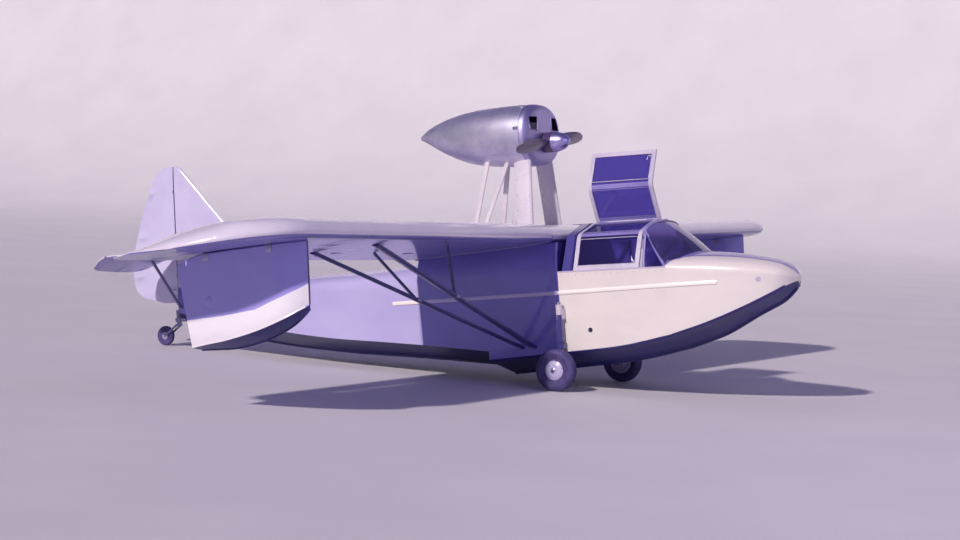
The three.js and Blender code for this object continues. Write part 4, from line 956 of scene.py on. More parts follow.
# The section as shares of the chord, from the tail edge over the top and back underneath.
SECTION = faired([(1, 0.006), (0.8, 0.0548), (0.75, 0.067), (0.5, 0.117), (0.3, 0.135), (0.15, 0.128),
                  (0.05, 0.098), (0.012, 0.067), (0, 0.036), (0.02, 0.01), (0.1, 0), (0.8, 0), (1, 0)], 4)
ROUND = len(SECTION)
UPPER_CUT, LOWER_CUT = 4, 44  # where the section crosses the aileron's hinge line
NOSE_SIDE = 32  # the section's point at the very front
CLOSING_POINT = 24  # the section's point, just behind the nose, towards which the tip closes
MIDDLE_Y = 552
WING_ROOT_Y = 556
WING_TIP_Y = 5340
TIP_FROM = 4560  # the nose falls back from here
NOSE_FALL = 880
TAIL_FALL = 330
AILERON_HINGE_X = -1203.6
AILERON_HINGE_UP = 37.75  # above the underside
AILERON_BAY = (2900, 4800)
AILERON_HINGES = (3185, 3850, 4515)


def tip_fall(y):
    """How far the nose falls back and the chord shortens at y, towards the rounded tip."""
    s = max(0.0, (abs(y) - TIP_FROM) / (WING_TIP_Y - TIP_FROM))
    fall = 1 - math.sqrt(1 - (0.992 * s) ** 2)
    tail = 0 if s < 0.5 else 1 - math.sqrt(1 - ((s - 0.5) / 0.5 * 0.985) ** 2)
    return NOSE_FALL * fall, CHORD - NOSE_FALL * fall - TAIL_FALL * tail


def sink(y, f):
    """How far the cloth lies inside the ribs' line, between two ribs and behind the front spar."""
    behind = min(1.0, max(0.0, (f - 0.12) / 0.1)) * min(1.0, (1 - f) / 0.1)
    return 4.0 * math.sin(math.pi * (abs(y) - WING_ROOT_Y) / RIB_PITCH) ** 2 * behind


def wing_ring(y, dihedral=True):
    """The wing's section at y, as points of the level craft."""
    nose, chord = tip_fall(y)
    cut = (WING_LE_X - nose - AILERON_HINGE_X - 16) / chord if abs(y) <= AILERON_BAY[1] else 0.8
    ring = []
    for f, h in SECTION:
        f = f * cut / 0.8 if f <= 0.8 else cut + (f - 0.8) * (1 - cut) / 0.2
        x = WING_LE_X - nose - f * chord
        lift = h * chord * min(1, chord / CHORD + 0.15)
        lift += (-1 if h > 0.0065 else 1) * (sink(y, f) if dihedral else 0)
        ring.append((x, y, wing_under(x, y if dihedral else 0) + lift))
    return ring


def spaced(start, end, pitch):
    """Values from start to end, about a pitch apart."""
    count = max(1, round((end - start) / pitch))
    return [start + (end - start) * k / count for k in range(count + 1)]


def notched(start, end, hinges, pitch):
    """Stations for a moving surface, with its front set back 10 mm round each hinge barrel."""
    marks = [(at, 0) for at in spaced(start, end, pitch) if all(abs(at - hinge) > 30 for hinge in hinges)]
    for hinge in hinges:
        marks += [(hinge - 14.5, 0), (hinge - 14.4, 10), (hinge + 14.4, 10), (hinge + 14.5, 0)]
    return sorted(marks)


def hinge_knuckle(stock, place, axis, forward):
    """A hinge barrel on a pin with its two lugs, which reach forward into the fixed surface."""
    axis, forward, place = Vector(axis), Vector(forward), Vector(place)
    stock.turn([(0, -12), (5, -12), (6.3, -10.5), (6.3, 10.5), (5, 12), (0, 12)], place, axis, 14, 2)
    for along in (-8, 8):
        root = place + axis * along
        stock.sweep([root, root + forward * 30], flat_bar(2.2, 6.2), axis, 2)


def doped_cloth(name, colour, shade, along="Y"):
    """Doped and rubbed-down cloth: glossy, with a tape over each rib and a faint sag in the film."""
    material, tree, place = new_material(name)
    parts = add_node(tree, "SeparateXYZ", {"Vector": place})
    # A tape 44 mm wide over every rib, 300 mm apart.
    beat = add_node(tree, "Math", {0: parts.outputs[along], 1: 0.044}, operation="SUBTRACT")
    fold = add_node(tree, "Math", {0: beat.outputs["Value"], 1: 0.15}, operation="PINGPONG")
    tape = add_node(tree, "MapRange", {"Value": fold.outputs["Value"], "From Min": 0.126, "From Max": 0.13})
    clouds = add_node(tree, "TexNoise", {"Vector": place, "Scale": 1.7, "Detail": 6.0, "Roughness": 0.6})
    weave = add_node(tree, "TexNoise", {"Vector": place, "Scale": 420.0, "Detail": 1.0})
    tone = add_node(tree, "ValToRGB", {"Fac": clouds.outputs["Fac"]}, stops=[(0.35, shade), (0.62, colour)])
    step = add_node(tree, "Bump", {"Height": tape.outputs["Result"], "Strength": 0.6, "Distance": 0.0012})
    film = add_node(tree, "Bump", {"Height": weave.outputs["Fac"], "Strength": 0.1, "Distance": 0.0004,
                                   "Normal": step.outputs["Normal"]})
    shader = add_node(tree, "BsdfPrincipled", {
        "Base Color": tone.outputs["Color"], "Roughness": 0.26, "Coat Weight": 0.5,
        "Coat Roughness": 0.07, "Normal": film.outputs["Normal"]})
    add_node(tree, "OutputMaterial", {"Surface": shader.outputs["BSDF"]})
    return material


white_cloth = doped_cloth("white doped cloth", "#dcd5e6", "#d2cae0")
# Lavender blue under the wing: painted shade on white cloth, with the dark ground's reflection painted in.
underside_shade_cloth = doped_cloth("underside cloth in lavender blue as painted shade", "#7f78bd", "#746db3")
plated_steel = polished_metal("zinc plated steel", "#a7a1c4", 0.34)


def cloth_paint(bay, side):
    """White above, and lavender blue underneath as painted shade."""
    return 1 if NOSE_SIDE + 2 <= side < ROUND - 1 else 0


def aileron_ring(y, recess):
    """The aileron's section at y, from its tail edge to its nose and back underneath."""
    nose, chord = tip_fall(y)
    front = (WING_LE_X - nose - AILERON_HINGE_X + recess) / chord
    shares = [front + (1 - front) * k / 5 for k in range(6)]
    ring = []
    for f, upper in [(f, True) for f in reversed(shares)] + [(f, False) for f in shares]:
        h = 0.0548 + (0.006 - 0.0548) * (f - 0.8) / 0.2 if upper else 0.0
        ease = 3 if f == front else 0
        x = WING_LE_X - nose - f * chord
        puff = h * chord + (-1 if upper else 1) * (ease + sink(y, f) * 0.6)
        ring.append((x, y, wing_under(x, y) + puff))
    return ring


for name, side in SIDES:
    panel = Stock()
    inner = [wing_ring(y) for y in spaced(WING_ROOT_Y, AILERON_BAY[0], 75)]
    bay_rings = [wing_ring(y) for y in spaced(*AILERON_BAY, 76)]
    reach = WING_TIP_Y - AILERON_BAY[1]
    outer = [wing_ring(AILERON_BAY[1] + reach * math.sin(math.pi / 2 * k / 16)) for k in range(16)]
    outer.append(wing_ring(WING_TIP_Y - 6))
    last = outer[-1]
    mid_z = sum(p[2] for p in last) / ROUND
    close_x = last[CLOSING_POINT][0]
    outer.append([(p[0] * 0.8 + close_x * 0.2, WING_TIP_Y, mid_z + (p[2] - mid_z) * 0.4) for p in last])
    wall = [*range(UPPER_CUT + 1), *range(LOWER_CUT, ROUND)]
    panel.loft(inner, cloth_paint, ends=(False, False))
    panel.face(range(ROUND), 1)
    panel.face([(len(inner) - 1) * ROUND + k for k in wall])
    panel.loft([ring[UPPER_CUT:LOWER_CUT + 1] for ring in bay_rings],
               lambda bay, k: 1 if NOSE_SIDE - 2 <= k < LOWER_CUT - UPPER_CUT else 0, ends=(False, False))
    start = len(panel.points)
    panel.loft(outer, cloth_paint, ends=(False, True))
    panel.face([start + k for k in wall])
    for y in AILERON_HINGES:
        z = wing_under(AILERON_HINGE_X, y) + AILERON_HINGE_UP
        hinge_knuckle(panel, (AILERON_HINGE_X, y, z), (0, 1, DIHEDRAL), (1, 0, INCIDENCE))
    # Inspection rings and drain grommets in the underside.
    for x, y in ((-420, 1480), (-1010, 1480), (-420, 2680), (-1010, 2680), (-760, 4100)):
        down = Vector((INCIDENCE, DIHEDRAL, -1)).normalized()
        at = Vector((x, y, wing_under(x, y) + sink(y, 0.5)))
        panel.turn([(0, 1), (48, 1), (52, 0), (52, -3), (40, -3), (0, -3)], at, -down, 28, 1)
    make_piece(f"wing_panel_{name}", panel.on(side), "hull",
               [white_cloth, underside_shade_cloth, plated_steel], [f"wing_{name}"], crease=42)

    flap = Stock()
    stations = notched(AILERON_BAY[0] + 8, AILERON_BAY[1] - 8, AILERON_HINGES, 75)
    flap.loft([aileron_ring(*station) for station in stations], lambda bay, k: 1 if k >= 6 else 0)
    make_piece(f"aileron_skin_{name}", flap.on(side), f"aileron_{name}",
               [white_cloth, underside_shade_cloth], [f"aileron_{name}"])

middle = Stock()
middle.loft([wing_ring(y, dihedral=False) for y in spaced(-MIDDLE_Y, MIDDLE_Y, 92)], cloth_paint,
            ends=(False, False))
for start in (0, len(middle.points) - ROUND):
    middle.face(range(start, start + ROUND), 1)
make_piece("wing_middle", middle, "hull", [white_cloth, underside_shade_cloth], ["wing_centre"],
           crease=42)

# ---- Lift struts ----
# Streamlined steel tubes in dark blue enamel, bolted to the chine under the wing and to the spars, each
# with a thin jury strut that steadies it at half length.


def streamlined(chord, thickness, points=9):
    """The outline of a streamlined tube, nose first."""
    upper = []
    for k in range(points + 1):
        u = (1 - math.cos(math.pi * k / points)) / 2
        half = 1.482 * math.sqrt(u) - 0.63 * u - 1.758 * u ** 2 + 1.4215 * u ** 3 - 0.5075 * u ** 4
        upper.append(((0.5 - u) * chord, max(half * thickness, 0.3)))
    return upper + [(a, -b) for a, b in reversed(upper)]


for name, side in SIDES:
    for row, foot_x, top_x, top_y, chord, lean in (("front", -300, -380, 3090, 84, 20),
                                                   ("rear", -420, -960, 3130, 70, 260)):
        strut = Stock()
        foot = Vector((foot_x, 492, 388))
        top = Vector((top_x, top_y, wing_under(top_x, top_y)))
        strut.sweep([foot.lerp(top, f) for f in (0, 0.02, 0.5, 0.98, 1)], streamlined(chord, 30), (1, 0, 0))
        waist = foot.lerp(top, 0.53)
        jury_top = Vector((top_x, waist.y + lean, wing_under(top_x, waist.y + lean)))
        strut.sweep([waist, waist.lerp(jury_top, 0.5), jury_top], streamlined(34, 16), (1, 0, 0))
        run = (top - foot).normalized()
        # A collar where the jury strut joins, a fork and bolt at each end.
        strut.sweep([waist - run * 22, waist + run * 22], streamlined(chord + 8, 36), (1, 0, 0), 1)
        bolt = Vector((0, run.z, -run.y)) * 21
        for end, inward in ((foot, run), (top, -run)):
            strut.sweep([end + inward * 2, end + inward * 70], streamlined(chord * 0.86, 35), (1, 0, 0), 1)
            strut.rod(end + inward * 34 - bolt, end + inward * 34 + bolt, 8, 12, 1)
        make_piece(f"strut_{row}_{name}", strut.on(side), "hull", [navy_tube, plated_steel],
                   [f"lift_strut_{row}_{name}"])

# ---- Tip floats ----
# Slab-sided plywood floats hung from the wing, white, painted blue above a line that sweeps up from the
# chine: the blue is painted shadow of the wing tip. Each has a keel strip, chine strips and a screwed
# inspection plate on its outer side.
FLOAT_Y = 4430
# Each station: x of the deck and of the keel, half width, z of the chine and of the keel, and how far the
# deck lies below the wing.
FLOAT = [[-1290, -1180, 135, 614, 590, 62], [-1080, -1010, 150, 640, 591, 2], [-920, -860, 160, 660, 594, 0],
         [-600, -560, 155, 728, 650, 0], [-330, -320, 118, 815, 752, 0], [-215, -225, 62, 868, 820, 0],
         [-165, -170, 14, 900, 870, 0]]
# The height of the painted tip shadow's lower edge at each x along the keel.
TIP_SHADOW_EDGE = [(-1180, 824), (-1010, 838), (-860, 848), (-560, 885), (-320, 982), (-225, 1030), (-170, 1065)]
float_shadow_blue = enamel("blue enamel as the wing tip's painted shadow on the float", "#a098e4", "#958ddb")
float_white = enamel("white gloss enamel on the float's plywood", "#ece7f0", "#e2dcea")
float_stations = faired(FLOAT, 7)
FLOAT_HALF = 10  # the points of half a section


def float_ring(row):
    """A section of the float, up the outboard side, over the top and down again."""
    top_x, bottom_x, half, chine_z, keel_z, fall = row
    half -= 1
    deck_z = wing_under(top_x, FLOAT_Y) - fall - 1.5
    shadow_edge_z = level(bottom_x, TIP_SHADOW_EDGE)
    low = chine_z + 6
    heights = [low, low + (shadow_edge_z - low) * 0.5, shadow_edge_z, shadow_edge_z + (deck_z - shadow_edge_z) * 0.5, deck_z - 8]
    bow_out = [0, 0.7, 1, 0.7, 0]
    side = []
    for z, swell in zip(heights, bow_out):
        x = bottom_x + (top_x - bottom_x) * (z - chine_z) / (deck_z - chine_z)
        side.append((x, half - 2 + swell * 1.6, z))
    bottom = [(bottom_x, 0, keel_z), (bottom_x, half * 0.5, keel_z + (chine_z - keel_z) * 0.42),
              (bottom_x, half - 7, chine_z - 3)]
    half_ring = [*bottom, *side, (top_x, max(half - 10, half * 0.5), deck_z), (top_x, 0, deck_z)]
    return half_ring + [(x, -y, z) for x, y, z in reversed(half_ring[1:-1])]


for name, side in SIDES:
    hulk = Stock()
    rings = [[(x, FLOAT_Y + y, z) for x, y, z in float_ring(row)] for row in float_stations]
    # White below the shadow's edge, painted blue shadow above it, and the dark bottom.
    hulk.loft(rings, lambda bay, k: (
        1 if part_of(k, FLOAT_HALF) in (3, 4) else 2 if part_of(k, FLOAT_HALF) < 2 else 0))
    keel_line = [(row[1], FLOAT_Y, row[4]) for row in float_stations]
    hulk.sweep(keel_line, [(7, 3), (7, -5), (4, -8), (-4, -8), (-7, -5), (-7, 3)], (0, 1, 0), 2)
    for out in (1, -1):
        chine_line = [(row[1], FLOAT_Y + out * (row[2] - 5), row[3] + 2) for row in float_stations[:-3]]
        hulk.sweep(chine_line, [(-3, 8), (4, 7), (5, -4), (-3, -6)], (0, out, 0), 1)
    # A screwed inspection plate on the outer side, and the two hanger plates at the top.
    plate_at = Vector((-980, FLOAT_Y + 152, 960))
    hulk.turn([(0, -6), (46, -6), (46, 1), (42, 3), (0, 3)], plate_at, (0, 1, 0), 24)
    for x in (-430, -1000):
        z = wing_under(x, FLOAT_Y)
        half = level(x, [(row[0], row[2]) for row in float_stations])
        for out in (-1, 1):
            y = FLOAT_Y + out * (half - 2)
            hulk.block((x - 30, y - 3, z - 62), (x + 30, y + 3, z - 2), 1.5, 3)
    make_piece(f"float_{name}", hulk.on(side), "hull",
               [float_shadow_blue, float_white, bottom_blue_and_shade_enamel, plated_steel], [f"tip_float_{name}"], crease=30)

# ---- Tail surfaces ----
# Fin, rudder, tailplane and elevators: light frames covered in doped cloth, hinged on short barrels. The
# elevators hang down under their own weight, as they do when the craft is left parked.
fin_cloth = doped_cloth("pale lavender doped cloth", "#c9c3e2", "#beb7db", along="Z")
tail_under = doped_cloth("shaded lavender doped cloth", "#8d84c4", "#837ab9")
FIN_HINGE_X = -4610
FIN_BACK = -4594
PLANE_Z = 1440
PLANE_BACK = (-4578, -4600)  # beside the fin, and outside it
ELEVATOR_HINGE = (-4616, PLANE_Z)
PARKED_DROOP = 28
RUDDER_HINGES = (1240, 1640, 2090)
ELEVATOR_HINGES = (260, 640, 1020)


def fixed_half(nose, back, thickness):
    """One face of a fixed surface as (x, offset), from the nose to its flat back."""
    c = nose - back
    return faired([(nose, 0), (nose - 0.05 * c, 0.28 * thickness), (nose - 0.3 * c, 0.48 * thickness),
                   (back, 0.5 * thickness)], 4)


def moving_half(front, tail, thickness):
    """One face of a moving surface as (x, offset), from its flat front to the tail edge."""
    mid = (front + tail) / 2
    return [(front, 0.5 * thickness - 2.5), (front - 2.5, 0.5 * thickness), *faired(
        [(front + (tail - front) * 0.25, 0.45 * thickness), (mid, 0.36 * thickness), (tail, 3)], 3)]


def read_rows(rows, value):
    """The other columns of faired rows at a value of the first."""
    for a, b in zip(rows, rows[1:]):
        if value <= b[0] or b is rows[-1]:
            f = (value - a[0]) / (b[0] - a[0])
            return [p + (q - p) * f for p, q in zip(a[1:], b[1:])]


# Fin and tailplane: height or span, nose and thickness. Rudder and elevator: the same, with the tail edge.
FIN = faired([[1080, -3400, 46], [1760, -4010, 44], [2190, -4395, 40], [2310, -4505, 34],
              [2352, -4562, 22]], 8)
RUDDER = faired([[955, -4790, 26], [978, -4960, 38], [1035, -5085, 44], [1107, -5145, 46], [1264, -5172, 46],
                 [1450, -5152, 46], [1624, -5108, 45], [1807, -5047, 43], [2030, -4957, 40],
                 [2200, -4880, 36], [2295, -4812, 31], [2345, -4725, 22]], 4)
TAILPLANE = faired([[10, -4140, 44], [820, -4190, 42], [1040, -4260, 36], [1150, -4360, 28],
                    [1195, -4480, 16]], 8)
ELEVATOR = faired([[64, -4640, 42], [225, -4900, 42], [900, -4900, 38], [1090, -4860, 30],
                   [1165, -4790, 22], [1190, -4700, 16]], 5)


def both_faces(half):
    """A fixed surface's section, from the one face round the nose to the other."""
    return half + [(x, -d) for x, d in reversed(half) if abs(d) > 0.01 or x < half[0][0] - 1]


fin = Stock()
rings = []
for z, nose, thickness in FIN:
    rings.append([(x, d, z) for x, d in both_faces(fixed_half(nose, FIN_BACK, thickness))])
rings.append([((p[0] + 4588) * 0.6 - 4588, p[1] * 0.45, 2356) for p in rings[-1]])
fin.loft(rings)
for z in RUDDER_HINGES:
    hinge_knuckle(fin, (FIN_HINGE_X, 0, z), (0, 0, 1), (1, 0, 0))
make_piece("fin_skin", fin, "hull", [fin_cloth, fin_cloth, plated_steel], ["fin"], crease=42)

rudder = Stock()
rings = []
for z, recess in notched(RUDDER[0][0], RUDDER[-1][0], RUDDER_HINGES, 70):
    tail_x, thickness = read_rows(RUDDER, z)
    half = moving_half(FIN_HINGE_X - recess, tail_x, thickness)
    rings.append([(x, d, z) for x, d in half + [(x, -d) for x, d in reversed(half)]])
rudder.loft(rings)
# The control horn near the bottom, on both sides.
rudder.sweep([(-4640, -95, 1090), (-4640, 95, 1090)], flat_bar(16, 3), (1, 0, 0), 1)
make_piece("rudder_skin", rudder, "rudder", [fin_cloth, plated_steel], ["rudder"], crease=42)

for name, side in SIDES:
    plane = Stock()
    rings = []
    for y, nose, thickness in TAILPLANE:
        back = PLANE_BACK[0] if y < 44 else PLANE_BACK[1]
        rings.append([(x, y, PLANE_Z + d) for x, d in both_faces(fixed_half(nose, back, thickness))])
    rings.append([((p[0] + 4560) * 0.6 - 4560, 1200, PLANE_Z + (p[2] - PLANE_Z) * 0.5) for p in rings[-1]])
    plane.loft(rings, lambda bay, k: 0 if k < 12 else 1)
    for y in ELEVATOR_HINGES:
        hinge_knuckle(plane, (ELEVATOR_HINGE[0], y, PLANE_Z), (0, 1, 0), (1, 0, 0))
    make_piece(f"tailplane_skin_{name}", plane.on(side), "hull",
               [white_cloth, tail_under, plated_steel], [f"tailplane_{name}"], crease=42)

    flap = Stock()
    rings = []
    for y, recess in notched(ELEVATOR[0][0], ELEVATOR[-1][0], ELEVATOR_HINGES, 70):
        tail_x, thickness = read_rows(ELEVATOR, y)
        half = moving_half(ELEVATOR_HINGE[0] - recess, min(tail_x, -4634), thickness)
        rings.append([(x, y, PLANE_Z + d) for x, d in half + [(x, -d) for x, d in reversed(half)]])
    flap.loft(rings, lambda bay, k: 0 if k < len(rings[0]) // 2 else 1)
    pin = Matrix.Translation((ELEVATOR_HINGE[0], 0, ELEVATOR_HINGE[1]))
    droop = pin @ Matrix.Rotation(math.radians(-PARKED_DROOP), 4, "Y") @ pin.inverted()
    make_piece(f"elevator_skin_{name}", flap.on(side), "elevators", [white_cloth, tail_under],
               [f"elevator_{name}"], droop, crease=42)

    brace = Stock()
    low_end, high_end = Vector((-4545, 40, 868)), Vector((-4545, 560, 1430))
    brace.sweep([low_end.lerp(high_end, f) for f in (0, 0.5, 1)], streamlined(40, 16), (1, 0, 0))
    run = (high_end - low_end).normalized()
    for end, inward in ((low_end, run), (high_end, -run)):
        brace.sweep([end, end + inward * 46], streamlined(36, 19), (1, 0, 0), 1)
    make_piece(f"brace_{name}", brace.on(side), "hull", [navy_tube, plated_steel],
               [f"tail_brace_{name}"])

# ---- Nacelle and nose bowl ----
# Polished aluminium sheet rolled over formers and riveted, with a spun nose bowl in front. The bowl has two
# cooling inlets with rolled lips, and the plain engine block shows behind them.
FRONT_JOINT_X = -448
# Each station: x, half width, middle height and half height.
NACELLE = [[-1655, 18, 2420, 18], [-1560, 90, 2424, 70], [-1350, 208, 2405, 167], [-1080, 306, 2380, 248],
           [-780, 362, 2368, 280], [-560, 378, 2362, 290], [-420, 378, 2362, 286]]
BOWL = [[-420, 378, 2362, 286], [-378, 366, 2362, 278], [-348, 330, 2362, 252], [-334, 270, 2362, 210]]
INLETS = [(y, 2462) for y in (-215, 215)]
INLET_HALF = (72, 62)
SHAFT_Z = 2285


def pod_point(row, turn, inset=0.0):
    """A point round the pod's section at a turn in degrees, 0 to port and 90 upward."""
    x, half_y, mid_z, half_z = row
    c, s = math.cos(math.radians(turn)), math.sin(math.radians(turn))
    return Vector((x, math.copysign(abs(c) ** 0.84, c) * (half_y - inset),
                   mid_z + math.copysign(abs(s) ** 0.84, s) * (half_z - inset)))


def pod_ring(row, inset=0.0):
    """The pod's whole section at a row."""
    return [pod_point(row, 360 * k / 64, inset) for k in range(64)]


pod_rows = faired(NACELLE, 7)


def pod_row(x):
    """The pod's section at x."""
    return [x, *read_rows(pod_rows, x)]


pod = Stock()
rings = [pod_ring([NACELLE[0][0] - 4, 6, 2420, 6]), *[pod_ring(row) for row in pod_rows]]
# The sheet turns in at its open front and runs back inside as far as the firewall.
rings += [pod_ring([-420, 378, 2362, 286], 6), pod_ring([-560, 378, 2362, 290], 10),
          pod_ring([-700, 368, 2366, 284], 12)]
pod.loft(rings, ends=(True, False))
firewall = pod_ring([-700, 366, 2366, 282], 12)
pod.loft([firewall, [p + Vector((4, 0, 0)) for p in firewall]], 1)


def rivet(stock, place, outward, radius=5.0, paint=0):
    """A low domed rivet head."""
    stock.turn([(radius, -0.5), (radius * 0.75, 1.1), (0, 1.7)], place, outward, 7, paint)


def pod_outward(row, turn):
    """The way out of the pod's skin at a turn."""
    along = pod_point(row, turn + 1) - pod_point(row, turn - 1)
    return Vector((0, along.z, -along.y)).normalized()


def pod_hoop(row, lift):
    """Points round the pod at a row, lifted off its skin."""
    return [pod_point(row, 360 * k / 64) + pod_outward(row, 360 * k / 64) * lift for k in range(64)]


# Seams: a hoop at the front joint and long laps a quarter down each side, all riveted.
row = pod_row(FRONT_JOINT_X)
pod.sweep(pod_hoop(row, 0.6), [(6, -0.2), (-6, -0.2), (-6, -1.5), (6, -1.5)], (1, 0, 0), looped=True)
for k in range(72):
    turn = 360 * (k + 0.5) / 72
    rivet(pod, pod_point(row, turn) + pod_outward(row, turn) * 1.4, pod_outward(row, turn))
for turn in (38, 142, 218, 322):
    line = []
    for x in spaced(-1480, FRONT_JOINT_X - 4, 34):
        row = pod_row(x)
        line.append(pod_point(row, turn) + pod_outward(row, turn) * 0.6)
    face = (0, 1, 0.6) if turn < 180 else (0, 1, -0.6)
    pod.sweep(line, [(7, 0.4), (-7, 0.4), (-7, -1.5), (7, -1.5)], face)
    for p in line[:-1]:
        rivet(pod, p + pod_outward(pod_row(p.x), turn) * 0.8, pod_outward(pod_row(p.x), turn))
# Over-centre latches along the front joint.
for turn in (8, 172, 62, 118, 245, 295):
    row = pod_row(FRONT_JOINT_X + 2)
    out = pod_outward(row, turn)
    p = pod_point(row, turn) + out * 3.5
    side_way = Vector((0, -out.z, out.y))
    pod.sweep([p + Vector((-26, 0, 0)), p + Vector((22, 0, 0))], flat_bar(13, 3), side_way, 2)
    pod.rod(p + out * 3 - side_way * 11, p + out * 3 + side_way * 11, 4, 8, 2)
make_piece("pod_sheet", pod, "hull", [polished_sheet, black_crackle, bright_metal],
           ["nacelle"], crease=32)


def rounded_box(half_y, half_z, corner, steps=5):
    """The outline of a box with rounded corners."""
    points = []
    for cy, cz, start in ((1, 1, 0), (-1, 1, 90), (-1, -1, 180), (1, -1, 270)):
        for k in range(steps + 1):
            t = math.radians(start + 90 * k / steps)
            points.append((cy * (half_y - corner) + corner * math.cos(t),
                           cz * (half_z - corner) + corner * math.sin(t)))
    return points


def settle(made):
    """Applies a piece's modifiers to its mesh."""
    bpy.context.view_layer.update()
    settled = made.evaluated_get(bpy.context.evaluated_depsgraph_get())
    mesh = bpy.data.meshes.new_from_object(settled)
    made.modifiers.clear()
    made.data = mesh


# The bowl's skin, its lining 9 mm inside, and the joint's edge between the two.
bowl_rows = faired(BOWL, 5)
outer = [pod_ring(row) for row in bowl_rows]
inner = []
for row in bowl_rows:
    back = Vector((0 if row is bowl_rows[0] else 7 if row is bowl_rows[-1] else 4, 0, 0))
    inner.append([p - back for p in pod_ring(row, 9)])
blank = Stock()
for rings, capped in ((outer, True), (inner, True), ([outer[0], inner[0]], False)):
    blank.loft(rings, ends=(False, capped))
bowl = placed("nose_bowl_blank", merged("nose_bowl_blank", blank))
cutters = []
for y, z in INLETS:
    cut = Stock()
    outline = rounded_box(INLET_HALF[0] + 1, INLET_HALF[1] + 1, 20)
    cut.loft([[(x, y + a, z + b) for a, b in outline] for x in (-470, -300)])
    cutters.append(placed("inlet_cutter", merged("inlet_cutter", cut)))
cut = Stock()
cut.turn([(48, 0), (48, 200)], (-480, 0, SHAFT_Z), (1, 0, 0), 40)
cutters.append(placed("shaft_cutter", merged("shaft_cutter", cut)))
for cutter in cutters:
    shaping = bowl.modifiers.new("cut", "BOOLEAN")
    shaping.operation = "DIFFERENCE"
    shaping.object = cutter
settle(bowl)
spun = Stock()
spun.points = [v.co.copy() for v in bowl.data.vertices]
for polygon in bowl.data.polygons:
    spun.face(polygon.vertices)
for leftover in [bowl, *cutters]:
    bpy.data.objects.remove(leftover)
# Rolled lips round the inlets and a flange round the shaft.
BOWL_FACE = BOWL[-1][0]
joint_half_y, joint_z, joint_half_z = BOWL[0][1:]
for y, z in INLETS:
    lip = []
    for a, b in rounded_box(INLET_HALF[0] + 3, INLET_HALF[1] + 3, 22, 6):
        # The lip follows the bowl's curve: it lies further back where the skin falls away.
        reach = math.hypot((y + a) / joint_half_y, (z + b - joint_z) / joint_half_z)
        fall = level(reach, [(0.72, 0), (0.8, 4), (0.9, 16), (0.97, 44), (1.0, 60)])
        lip.append((BOWL_FACE - fall, y + a, z + b))
    spun.sweep(lip, oval(6, 6, 8), (1, 0, 0), looped=True)
spun.turn([(50, -8), (50, 1), (58, 4), (74, 4), (78, 0), (78, -6)], (BOWL_FACE, 0, SHAFT_Z), (1, 0, 0), 40)
joint = [p + Vector((1, 0, 0)) for p in pod_hoop(BOWL[0], 0.5)]
spun.sweep(joint, [(5, 1.2), (-5, 1.2), (-5, -1.5), (5, -1.5)], (1, 0, 0), looped=True)
# The bowl's sheet is darker and a little rougher than the pod's: partly a duller finish, partly painted shade
# on its front.
bowl_shaded_sheet = polished_metal("nose bowl aluminium, dulled and darkened as painted shade", "#b3abdb", 0.45)
make_piece("bowl_spun", spun, "hull", [bowl_shaded_sheet], ["nose_bowl"], crease=34)

# ---- Propeller and spinner ----
# Two laminated blades in dark stain, brass shod along the leading edge at the tip, with a spun spinner. Six
# bolts clamp the wood to its flange, and rivets hold the spinner to its plate.
HUB_X = -281
# Each station: radius, chord, thickness and pitch in degrees.
PROP_STATIONS = [[60, 70, 40, 50], [145, 105, 26, 44], [280, 132, 18, 31], [450, 126, 12, 23],
                 [600, 100, 8, 18], [675, 66, 6, 16], [704, 20, 4, 15]]


def laminated_wood(name, colour, shade):
    """Stained and varnished laminated wood: glue lines 18 mm apart that follow the blade."""
    material, tree, place = new_material(name)
    layers = add_node(tree, "TexWave", {"Vector": place, "Scale": 17.0, "Distortion": 0.8, "Detail": 2.0},
                      bands_direction="X")
    tone = add_node(tree, "ValToRGB", {"Fac": layers.outputs["Fac"]}, stops=[(0.25, shade), (0.7, colour)])
    shader = add_node(tree, "BsdfPrincipled", {"Base Color": tone.outputs["Color"], "Roughness": 0.3,
                                               "Coat Weight": 0.7, "Coat Roughness": 0.08})
    add_node(tree, "OutputMaterial", {"Surface": shader.outputs["BSDF"]})
    return material


stained_wood = laminated_wood("dark stained laminated wood", "#57416a", "#43305a")
tip_brass = polished_metal("dulled brass tip sheath", "#b9a58f", 0.3)
spinner_sheet = polished_metal("polished spinner dome", "#b9b0ea", 0.3)

prop = Stock()
blade_rows = faired(PROP_STATIONS, 6)
section = faired([(0.5, 0), (0.42, 0.3), (0.2, 0.5), (-0.2, 0.45), (-0.5, 0.04), (-0.2, -0.3), (0.2, -0.4),
                  (0.42, -0.22), (0.5, 0)], 3)[:-1]
BLADE_TURN = 97  # the one blade's angle from straight up, about the shaft
SHEATH_BAYS = 14
leading = {0, 1, 2, 21, 22, 23}  # the section's sides round its leading edge
for flip in (0, 180):
    spin = Matrix.Rotation(math.radians(BLADE_TURN + flip), 3, "X")
    rings = []
    for radius, chord, thick, angle in blade_rows:
        c, s = math.cos(math.radians(angle)), math.sin(math.radians(angle))
        ring = []
        for f, h in section:
            x = HUB_X + f * chord * s + h * thick * c
            ring.append(spin @ Vector((0, f * chord * c - h * thick * s, radius)) + Vector((x, 0, SHAFT_Z)))
        rings.append(ring)
    sheath_from = len(rings) - SHEATH_BAYS
    prop.loft(rings, lambda bay, k: 1 if bay >= sheath_from and k in leading else 0)
prop.turn([(0, 0), (90, 0), (96, 5), (96, 85), (90, 90), (0, 90)], (-326, 0, SHAFT_Z), (1, 0, 0), 36)
for k in range(6):
    t = math.radians(60 * k + 20)
    prop.turn([(11, 0), (11, 5), (6, 8), (0, 8)],
              (-236, 62 * math.cos(t), SHAFT_Z + 62 * math.sin(t)), (1, 0, 0), 6, 2)
